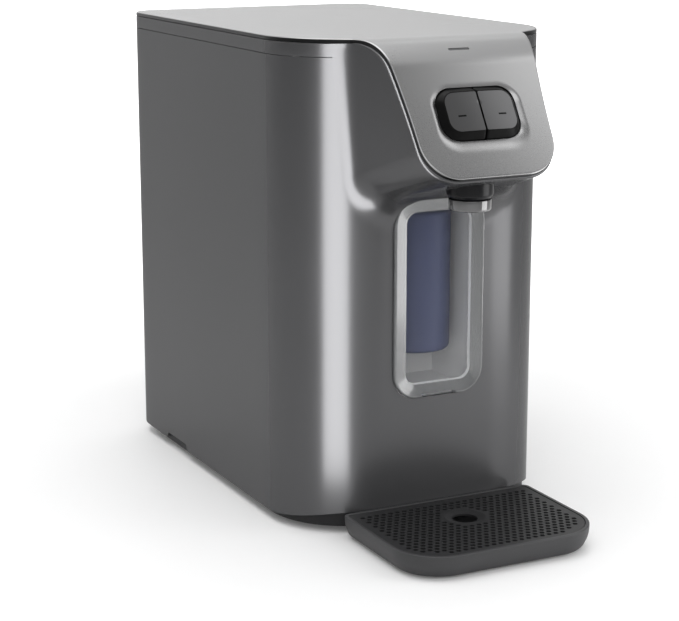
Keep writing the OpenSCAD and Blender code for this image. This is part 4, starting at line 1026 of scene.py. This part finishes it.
def silver_paint():
    """Satin silver; on the plate's outer edge, where UV.y is 1, the colour is painted dark as shade."""
    material = bpy.data.materials.get("silver_satin_paint")
    if material:
        return material
    base = tuple(colours().silver)
    material = finish("silver_satin_paint", base, 0.28, 2600, 0.08, 0.04, 0.02, Metallic=0.95)
    # Painted shade darkens the plate's outer edge
    blend(material, uv_parts(material.node_tree)[1], PLATE_EDGE_SHADE)
    return material


def charcoal_plastic():
    return finish("charcoal_moulded", tuple(colours().charcoal), 0.5, 1400, 0.12, 0.1, 0.12)


def spout_black():
    return finish("spout_black", (0.006, 0.006, 0.007), 0.26, 1600, 0.1, 0.06, 0.03, Specular_IOR_Level=0.2)


def nozzle_smoky():
    base = (0.06, 0.06, 0.061)
    return finish("nozzle_smoky", base, 0.1, 1600, 0.1, 0.02, 0, Specular_IOR_Level=1.0, Coat_Weight=1.0)


def key_finish():
    """Gloss black sides and a satin, metallic top with a short printed dash.

    UV.y is raised on the key's sides; on the top both shares are those of its width and height."""
    material = bpy.data.materials.get("key_black")
    if material:
        return material
    material = finish("key_black", KEY_TOP, 0.3, 1800, 0.1, 0.05, 0.01, Specular_IOR_Level=0.06)
    tree = material.node_tree
    across, up = uv_parts(tree)
    near = [maths(tree, "COMPARE", share, *span) for share, span in zip((across, up), DASH)]
    side = maths(tree, "GREATER_THAN", up, KEY_SIDE_FROM)
    dark = maths(tree, "MAXIMUM", side, maths(tree, "MULTIPLY", *near))
    blend(material, dark, KEY_SIDE)
    metal = maths(tree, "SUBTRACT", 1.0, dark)
    tree.links.new(metal, tree.nodes["Principled BSDF"].inputs["Metallic"])
    return material


def clear_plastic():
    """Clear moulded plastic: nearly see-through in the pane, smoky in the thick rim, and painted near white
    on the step between them as a painted highlight. UV.y is the way in from the edge, and UV.x is 1 on the
    step."""
    material = bpy.data.materials.get("clear_moulded")
    if material:
        return material
    gloss = {"Specular_IOR_Level": 1.0, "Coat_Weight": 1.0, "Coat_Roughness": 0.1}
    material = finish("clear_moulded", (0.15, 0.154, 0.158), 0.14, 200, 0.03, 0.01, 0, **gloss)
    tree = material.node_tree
    step, way_in = uv_parts(tree)
    thick = ranged(tree, way_in, 0.96, 1.0, 0.75, 0.06, "SMOOTHSTEP")
    solid = maths(tree, "MAXIMUM", thick, step)
    tree.links.new(solid, tree.nodes["Principled BSDF"].inputs["Alpha"])
    # Painted highlight: the step is painted near white
    blend(material, step, STEP_HIGHLIGHT)
    return material


def cartridge_finish():
    """Slate plastic with a printed field of small, paler dots, laid out by the UVs and fading upwards."""
    material = bpy.data.materials.get("cartridge_slate")
    if material:
        return material
    base = tuple(colours().slate)
    material = finish("cartridge_slate", base, 0.5, 900, 0.05, 0.04, 0.01, Specular_IOR_Level=0.15)
    tree = material.node_tree
    uv = tree.nodes.new("ShaderNodeUVMap")
    pitch = node(tree, "ShaderNodeVectorMath", operation="MULTIPLY")
    pitch.inputs[1].default_value = DOT_COUNTS
    tree.links.new(uv.outputs["UV"], pitch.inputs[0])
    dots = node(tree, "ShaderNodeTexVoronoi", voronoi_dimensions="2D", Scale=1.0, Randomness=0.0)
    tree.links.new(pitch.outputs["Vector"], dots.inputs["Vector"])
    spot = ranged(tree, dots.outputs["Distance"], 0.2, 0.34, 0.3, 0.0)
    field = ranged(tree, uv_parts(tree)[1], 0.2, 0.62, 1.0, 0.0)
    blend(material, maths(tree, "MULTIPLY", spot, field), DOT_COLOUR)
    return material


def grille_plastic():
    base = (0.02, 0.02, 0.021)
    return finish("grille_moulded", base, 0.5, 1200, 0.15, 0.1, 0.15, Specular_IOR_Level=0.35)


def plinth_plastic():
    base = (0.02, 0.02, 0.021)
    return finish("plinth_dark", base, 0.5, 1400, 0.12, 0.1, 0.1, Specular_IOR_Level=0.2)


def niche_plastic():
    return finish("niche_grey", (0.95, 0.952, 0.955), 0.45, 1300, 0.06, 0.06, 0.05)


def foot_rubber():
    return finish("foot_rubber", (0.017, 0.017, 0.018), 0.8, 900, 0.15, 0.05, 0.2)


def smoked_lens():
    return finish("lens_smoked", (0.06, 0.06, 0.063), 0.25, 900, 0.1, 0.05, 0.02)


def white_plastic():
    return finish("white_moulded", (0.68, 0.69, 0.7), 0.42, 1300, 0.05, 0.06, 0.06)


def foam_beads():
    return finish("foam_beads", (0.8, 0.8, 0.78), 0.9, 260, 0.1, 0.05, 0.6)


def brushed_steel():
    return finish("steel_brushed", (0.55, 0.56, 0.57), 0.34, 3000, 0.1, 0.12, 0.05, Metallic=1.0)


def extruded_aluminium():
    return finish("aluminium_extruded", (0.66, 0.67, 0.69), 0.4, 2400, 0.1, 0.1, 0.05, Metallic=1.0)


def board_lacquer():
    return finish("board_lacquer", (0.02, 0.12, 0.05), 0.35, 800, 0.2, 0.1, 0.05)


def black_plastic():
    return finish("black_moulded", (0.02, 0.02, 0.021), 0.5, 1400, 0.12, 0.1, 0.1)


def milky_hose():
    return finish("hose_milky", (0.72, 0.74, 0.75), 0.35, 500, 0.06, 0.05, 0.02)


SLOT_FINISH = {
    "shell": graphite_paint,
    "cover": silver_paint,
    "charcoal": charcoal_plastic,
    "grille": grille_plastic,
    "rubber": foot_rubber,
    "key": key_finish,
    "lens": smoked_lens,
    "clear": clear_plastic,
    "cartridge": cartridge_finish,
    "white": white_plastic,
    "foam": foam_beads,
    "steel": brushed_steel,
    "aluminium": extruded_aluminium,
    "board": board_lacquer,
    "black": black_plastic,
    "hose": milky_hose,
}
NODE_FINISH = {"filter_niche": niche_plastic, "base_plate": plinth_plastic}


# Operators


class PURIFIER_OT_cabinet(bpy.types.Operator):
    """Makes the cabinet's skin with its hood, and the band under the cover"""

    bl_idname = "purifier.cabinet"
    bl_label = "Cabinet skin"
    bl_options = {"REGISTER", "UNDO"}

    def execute(self, context):
        wall = sizes().wall
        skin = piece("cabinet_skin", cabinet_parts(), outward=False)
        thick = skin.modifiers.new("wall", "SOLIDIFY")
        thick.thickness = wall
        thick.offset = -1
        settle(skin)
        low = PANEL_LOW.x + REAR_MARGIN, PANEL_LOW.z + REAR_MARGIN
        high = PANEL_HIGH.x - REAR_MARGIN, PANEL_HIGH.z - REAR_MARGIN
        opening = loop_box(low, high, [REAR_CORNER] * 4, 5)
        cut_away(
            skin,
            [
                prism(window_loop(WINDOW_GAP), front_place, *WINDOW_CUT),
                prism(opening, rear_place, -CUT_OUT, CUT_IN),
                prism(SIDE_NOTCH, side_place, -HALF_W - CUT_OUT, HALF_W + CUT_OUT),
            ],
        )
        dress(skin, graphite_paint(), "root", "shell", "body_shell")
        x, y, nx, ny = plan_point(np.linspace(-1, 1, 361)[:-1] * plan_length())
        low, high = BAND_LOW.z, BAND_HIGH.z
        line = rounded([(wall, low), (0, low), (0, high), (wall, high)], [BAND_ROUND] * 2, 5)
        line = np.concatenate([line, line[:1]])
        inset, level = line[:, :1], line[:, 1:]
        ring = np.stack(np.broadcast_arrays(x - inset * nx, y - inset * ny, level), -1)
        band = piece("top_band_ring", [sheet_part(ring, wrap=True)])
        dress(band, graphite_paint(), "root", "shell", "top_band")
        return {"FINISHED"}


class PURIFIER_OT_cover(bpy.types.Operator):
    """Makes the bent cover plate with its dish, its key opening and the indicator's slot"""

    bl_idname = "purifier.cover"
    bl_label = "Cover plate"
    bl_options = {"REGISTER", "UNDO"}

    def execute(self, context):
        z, bend = sizes(), Bend()
        cover = piece("cover_plate", cover_parts())
        half_w, half_h = z.key_width + KEY_SPLIT / 2 + KEY_GAP, z.key_height / 2 + KEY_GAP
        hole = loop_box((-half_w, -half_h), (half_w, half_h), [z.key_corner + KEY_GAP] * 4, 14)
        lens_low, lens_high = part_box("indicator_lens")
        low, high = (lens_low.x - SEAT_GAP, -INDICATOR_HALF), (lens_high.x + SEAT_GAP, INDICATOR_HALF)
        slot = loop_box(low, high, [INDICATOR_CORNER] * 4, 5)
        slot_t = bend.start + bend.radius * INDICATOR_TURN

        def slot_place(xt, depth):
            return bend.at(xt[..., 0], slot_t + xt[..., 1], depth)

        cut_away(cover, [prism(hole, fascia_place, *KEY_CUT), prism(slot, slot_place, *SLOT_CUT)])
        dress(cover, silver_paint(), "root", "cover", "top_cover")
        return {"FINISHED"}


class PURIFIER_OT_keys(bpy.types.Operator):
    """Makes the two chamfered keys"""

    bl_idname = "purifier.keys"
    bl_label = "Keys"
    bl_options = {"REGISTER", "UNDO"}

    def execute(self, context):
        for name, side in (("left_key", -1), ("right_key", 1)):
            key = piece(name + "_cap", key_parts(side), sharp=50)
            dress(key, key_finish(), name, "key", name)
        return {"FINISHED"}


class PURIFIER_OT_spout(bpy.types.Operator):
    """Turns the spout's collar and the nozzle ring below it"""

    bl_idname = "purifier.spout"
    bl_label = "Spout"
    bl_options = {"REGISTER", "UNDO"}

    def execute(self, context):
        y = (COLLAR_LOW.y + COLLAR_HIGH.y) / 2
        r, low, high = COLLAR_HIGH.x, COLLAR_LOW.z, COLLAR_HIGH.z
        edge, draw = low + COLLAR_CHAMFER, r - COLLAR_DRAW
        collar = rounded(
            [(SPOUT_BORE, high), (r, high), (r, edge), (draw, low), (SPOUT_BORE, low)],
            [0.6 * MM, 1.2 * MM, 0.8 * MM],
        )
        obj = piece("spout_collar_turned", [lathe(np.concatenate([collar, collar[:1]]), 0, y)])
        dress(obj, spout_black(), "root", "charcoal", "spout_collar")
        r, low, high = NOZZLE_HIGH.x, NOZZLE_LOW.z + NOZZLE_LIFT, NOZZLE_HIGH.z
        floor = low + NOZZLE_FLOOR
        nozzle = rounded(
            [(SPOUT_BORE, high), (r, high), (r, low)]
            + [(NOZZLE_LIP_R, low), (NOZZLE_THROAT_R, floor), (SPOUT_BORE, floor)],
            [0.5 * MM, 2 * MM, 0.8 * MM, 0.4 * MM],
        )
        obj = piece("spout_nozzle_turned", [lathe(np.concatenate([nozzle, nozzle[:1]]), 0, y)])
        dress(obj, nozzle_smoky(), "root", "charcoal", "spout_nozzle")
        return {"FINISHED"}


class PURIFIER_OT_filter(bpy.types.Operator):
    """Makes the clear window and the filter cartridge behind it"""

    bl_idname = "purifier.filter"
    bl_label = "Filter"
    bl_options = {"REGISTER", "UNDO"}

    def execute(self, context):
        window = piece("clear_window", window_parts())
        low, high = (-GRIP_HALF, WINDOW_LOW.z - GRIP_DROP), (GRIP_HALF, WINDOW_LOW.z + GRIP_RISE)
        grip = loop_box(low, high, [GRIP_CORNER] * 4, 6)
        cut_away(window, [prism(grip, front_place, -CUT_IN, CUT_IN)])
        dress(window, clear_plastic(), "filter_window", "clear", "filter_window")
        y, r = (CARTRIDGE_LOW.y + CARTRIDGE_HIGH.y) / 2, CARTRIDGE_HIGH.x
        low, high = CARTRIDGE_LOW.z, CARTRIDGE_HIGH.z
        profile = rounded(
            [(0, low), (r, low), (r, SHOULDER_Z), (NECK_R, SHOULDER_Z), (NECK_R, high), (0, high)],
            [SHOULDER_ROUND, SHOULDER_ROUND, 1 * MM, 0.8 * MM],
        )
        reach = NECK_R + LUG_REACH
        lugs = loop_box((-reach, y - LUG_HALF), (reach, y + LUG_HALF), [1 * MM] * 4, 4)

        def level(xy, z):
            return np.concatenate([xy, np.full(xy.shape[:-1] + (1,), z)], -1)

        parts = [lathe(profile, 0, y), prism(lugs, level, high - LUG_LOW, high - LUG_HIGH)]
        cartridge = piece("filter_cartridge_turned", parts)
        dress(cartridge, cartridge_finish(), "filter_cartridge", "cartridge", "filter_cartridge")
        return {"FINISHED"}


class PURIFIER_OT_tray(bpy.types.Operator):
    """Makes the drip tray"""

    bl_idname = "purifier.tray"
    bl_label = "Drip tray"
    bl_options = {"REGISTER", "UNDO"}

    def execute(self, context):
        tray = piece("drip_tray_moulded", tray_parts())
        dress(tray, charcoal_plastic(), "drip_tray", "charcoal", "drip_tray")
        return {"FINISHED"}


class PURIFIER_OT_finishes(bpy.types.Operator):
    """Gives every node that keeps its CAD mesh the finish of its slot"""

    bl_idname = "purifier.finishes"
    bl_label = "Node finishes"
    bl_options = {"REGISTER", "UNDO"}

    def execute(self, context):
        slots = {n["node"]: n["material_slot"] for n in frame["record"]["subparts"]}
        for name, obj in frame["nodes"].items():
            made = NODE_FINISH.get(name, SLOT_FINISH[slots[name]])()
            obj.data.materials.clear()
            obj.data.materials.append(made)
        return {"FINISHED"}


# Stage

# The photograph's width and focal length in pixels, and the camera that fits it, with its sensor in mm
IMAGE_WIDTH = 679
CAMERA_FOCUS = 1852.45
CAMERA_PLACE = (-0.69212, -1.32233, 0.49587)
CAMERA_YAW = 0.467
CAMERA_PITCH = 0.23
CAMERA_SENSOR = 36
CAMERA_END = 50

# Lamps: name, place, aim, width, height, radiance, and the only pieces that it lights, if not all
STRIP_LIT = ("cabinet_skin", "top_band_ring")
LAMPS = (
    ("overhead", (-0.3, 0.2, 2.0), (-0.1, 0.15, 0.2), 1.8, 1.8, 3.0, ()),
    ("left_strip", (-0.1641, -0.2118, 0.36), (-0.0465, -0.05, 0.36), 0.1, 0.72, 9.2, STRIP_LIT),
    ("fascia_panel", (0.366, -0.349, 0.61), (0.058, -0.095, 0.28), 0.21, 0.32, 1.55, ()),
    ("right_high", (0.7, 0.275, 1.45), (0.0, 0.275, 0.37), 1.75, 0.6, 0.65, ()),
    ("front_panel", (0.51, -0.53, 0.18), (0.03, -0.118, 0.12), 0.4, 0.36, 3.45, ()),
    ("front_fill", (-0.7, -2.2, 1.5), (0.0, -0.1, 0.18), 2.4, 2.0, 1.65, ()),
)

# The studio's light, and the floor's lifts: start and end of each, its least and its most
WORLD_LEVEL = 0.3
FAR_LIFT = (0.35, 1.0, 0.08, 1.0)
HIGH_LIFT = (0.35, 0.9, 0.0, 0.42)

# The sweep: half its width, where its floor starts and where its bend does, the bend, and its top
SWEEP_HALF = 5.0
SWEEP_FRONT = -4.0
SWEEP_START = 1.1
SWEEP_BEND = 0.7
SWEEP_TOP = 2.6


def area_lamp(name, place, aim, width, height, radiance, pieces):
    """A rectangular lamp aimed at a point; its watts are radiance times pi times its area."""
    data = bpy.data.lights.new(name, "AREA")
    data.shape = "RECTANGLE"
    data.size, data.size_y = width, height
    data.energy = radiance * math.pi * width * height
    lamp = bpy.data.objects.new(name, data)
    bpy.context.scene.collection.objects.link(lamp)
    lamp.location = place
    lamp.rotation_euler = (Vector(aim) - Vector(place)).to_track_quat("-Z", "Y").to_euler()
    lamp.visible_camera = False
    if pieces:
        lit = bpy.data.collections.new("lit_by_" + name)
        for lit_name in pieces:
            lit.objects.link(bpy.data.objects[lit_name])
        lamp.light_linking.receiver_collection = lit
        lamp.visible_diffuse = False


def ray_kind(tree, *kinds):
    """1 where the ray is one of the kinds that Light Path names, else 0."""
    path = tree.nodes.new("ShaderNodeLightPath")
    found = path.outputs[kinds[0]]
    for kind in kinds[1:]:
        found = maths(tree, "MAXIMUM", found, path.outputs[kind])
    return found


def world_light(scene):
    """An even grey studio that the camera sees as white."""
    world = bpy.data.worlds.new("studio")
    world.use_nodes = True
    scene.world = world
    tree = world.node_tree
    back = tree.nodes["Background"]
    seen = ray_kind(tree, "Is Camera Ray", "Is Transmission Ray")
    tree.links.new(ranged(tree, seen, 0.0, 1.0, WORLD_LEVEL, 1.0), back.inputs["Strength"])
    back.inputs["Color"].default_value = (1, 1, 1, 1)


def sweep_points():
    """The studio's sweep: a flat floor carried back, up round an arc and on up a wall."""
    turn = np.linspace(0, math.pi / 2, 14)
    wall = SWEEP_START + SWEEP_BEND
    flat = np.linspace(SWEEP_FRONT, SWEEP_START, 12)[:-1]
    y = np.concatenate([flat, SWEEP_START + SWEEP_BEND * np.sin(turn), [wall]])
    z = np.concatenate([np.zeros(len(flat)), SWEEP_BEND * (1 - np.cos(turn)), [SWEEP_TOP]])
    x = np.linspace(-SWEEP_HALF, SWEEP_HALF, 11)
    return np.stack(np.broadcast_arrays(x[None], y[:, None], z[:, None]), -1)


def floor_finish():
    """Pale floor with a faint cloud, lifted to white away from the object, where it is the background.

    The camera's lift is a smooth step of the distance from the origin, so shadows near the object
    stay; that of reflections is one of the height, so the wall brightens upwards. From behind the
    sheet is see-through."""
    material = finish("studio_floor", tuple(colours().floor), 0.6, 60, 0.01, 0.02, 0)
    tree = material.node_tree
    link = tree.links.new
    shade = tree.nodes["Principled BSDF"]
    place = tree.nodes.new("ShaderNodeTexCoord")
    far = node(tree, "ShaderNodeVectorMath", operation="LENGTH")
    link(place.outputs["Object"], far.inputs[0])
    split = tree.nodes.new("ShaderNodeSeparateXYZ")
    link(place.outputs["Object"], split.inputs["Vector"])
    shown = []
    for measure, lift, kinds in (
        (far.outputs["Value"], FAR_LIFT, ("Is Camera Ray", "Is Transmission Ray")),
        (split.outputs["Z"], HIGH_LIFT, ("Is Glossy Ray",)),
    ):
        level = ranged(tree, measure, *lift, "SMOOTHSTEP")
        shown.append(maths(tree, "MULTIPLY", level, ray_kind(tree, *kinds)))
    link(maths(tree, "ADD", *shown), shade.inputs["Emission Strength"])
    shade.inputs["Emission Color"].default_value = (1, 1, 1, 1)
    behind = tree.nodes.new("ShaderNodeNewGeometry").outputs["Backfacing"]
    link(maths(tree, "SUBTRACT", 1.0, behind), shade.inputs["Alpha"])
    return material


class PURIFIER_OT_stage(bpy.types.Operator):
    """Sets up the floor, the soft lights and the camera at the photograph's view angle"""

    bl_idname = "purifier.stage"
    bl_label = "Stage"
    bl_options = {"REGISTER", "UNDO"}

    def execute(self, context):
        scene = context.scene
        scene.view_settings.view_transform = "Standard"
        floor = piece("studio_floor", [sheet_part(sweep_points())], outward=False, sharp=180)
        floor.data.materials.append(floor_finish())
        world_light(scene)
        for lamp in LAMPS:
            area_lamp(*lamp)
        data = bpy.data.cameras.new("camera")
        data.sensor_width = CAMERA_SENSOR
        data.lens = CAMERA_FOCUS * CAMERA_SENSOR / IMAGE_WIDTH
        data.clip_end = CAMERA_END
        camera = bpy.data.objects.new("camera", data)
        scene.collection.objects.link(camera)
        camera.location = CAMERA_PLACE
        camera.rotation_euler = (math.pi / 2 - CAMERA_PITCH, 0, -CAMERA_YAW)
        scene.camera = camera
        return {"FINISHED"}


class PURIFIER_PT_panel(bpy.types.Panel):
    """Lists the purifier's operators and sizes"""

    bl_idname = "PURIFIER_PT_panel"
    bl_label = "Water purifier"
    bl_space_type = "VIEW_3D"
    bl_region_type = "UI"
    bl_category = "Purifier"

    def draw(self, context):
        for made in OPERATORS:
            self.layout.operator(made.bl_idname)
        for group in (context.scene.purifier_sizes, context.scene.purifier_colours):
            for name in group.bl_rna.properties.keys():
                if name not in ("rna_type", "name"):
                    self.layout.prop(group, name)


OPERATORS = (
    PURIFIER_OT_finishes,
    PURIFIER_OT_cabinet,
    PURIFIER_OT_cover,
    PURIFIER_OT_keys,
    PURIFIER_OT_spout,
    PURIFIER_OT_filter,
    PURIFIER_OT_tray,
    PURIFIER_OT_stage,
)
CLASSES = (PurifierSizes, PurifierColours, *OPERATORS, PURIFIER_PT_panel)


def register():
    for made in CLASSES:
        bpy.utils.register_class(made)
    bpy.types.Scene.purifier_sizes = bpy.props.PointerProperty(type=PurifierSizes)
    bpy.types.Scene.purifier_colours = bpy.props.PointerProperty(type=PurifierColours)


def unregister():
    del bpy.types.Scene.purifier_sizes
    del bpy.types.Scene.purifier_colours
    for made in reversed(CLASSES):
        bpy.utils.unregister_class(made)


def main():
    register()
    for made in OPERATORS:
        family, name = made.bl_idname.split(".")
        getattr(getattr(bpy.ops, family), name)()


if __name__ == "__main__":
    main()
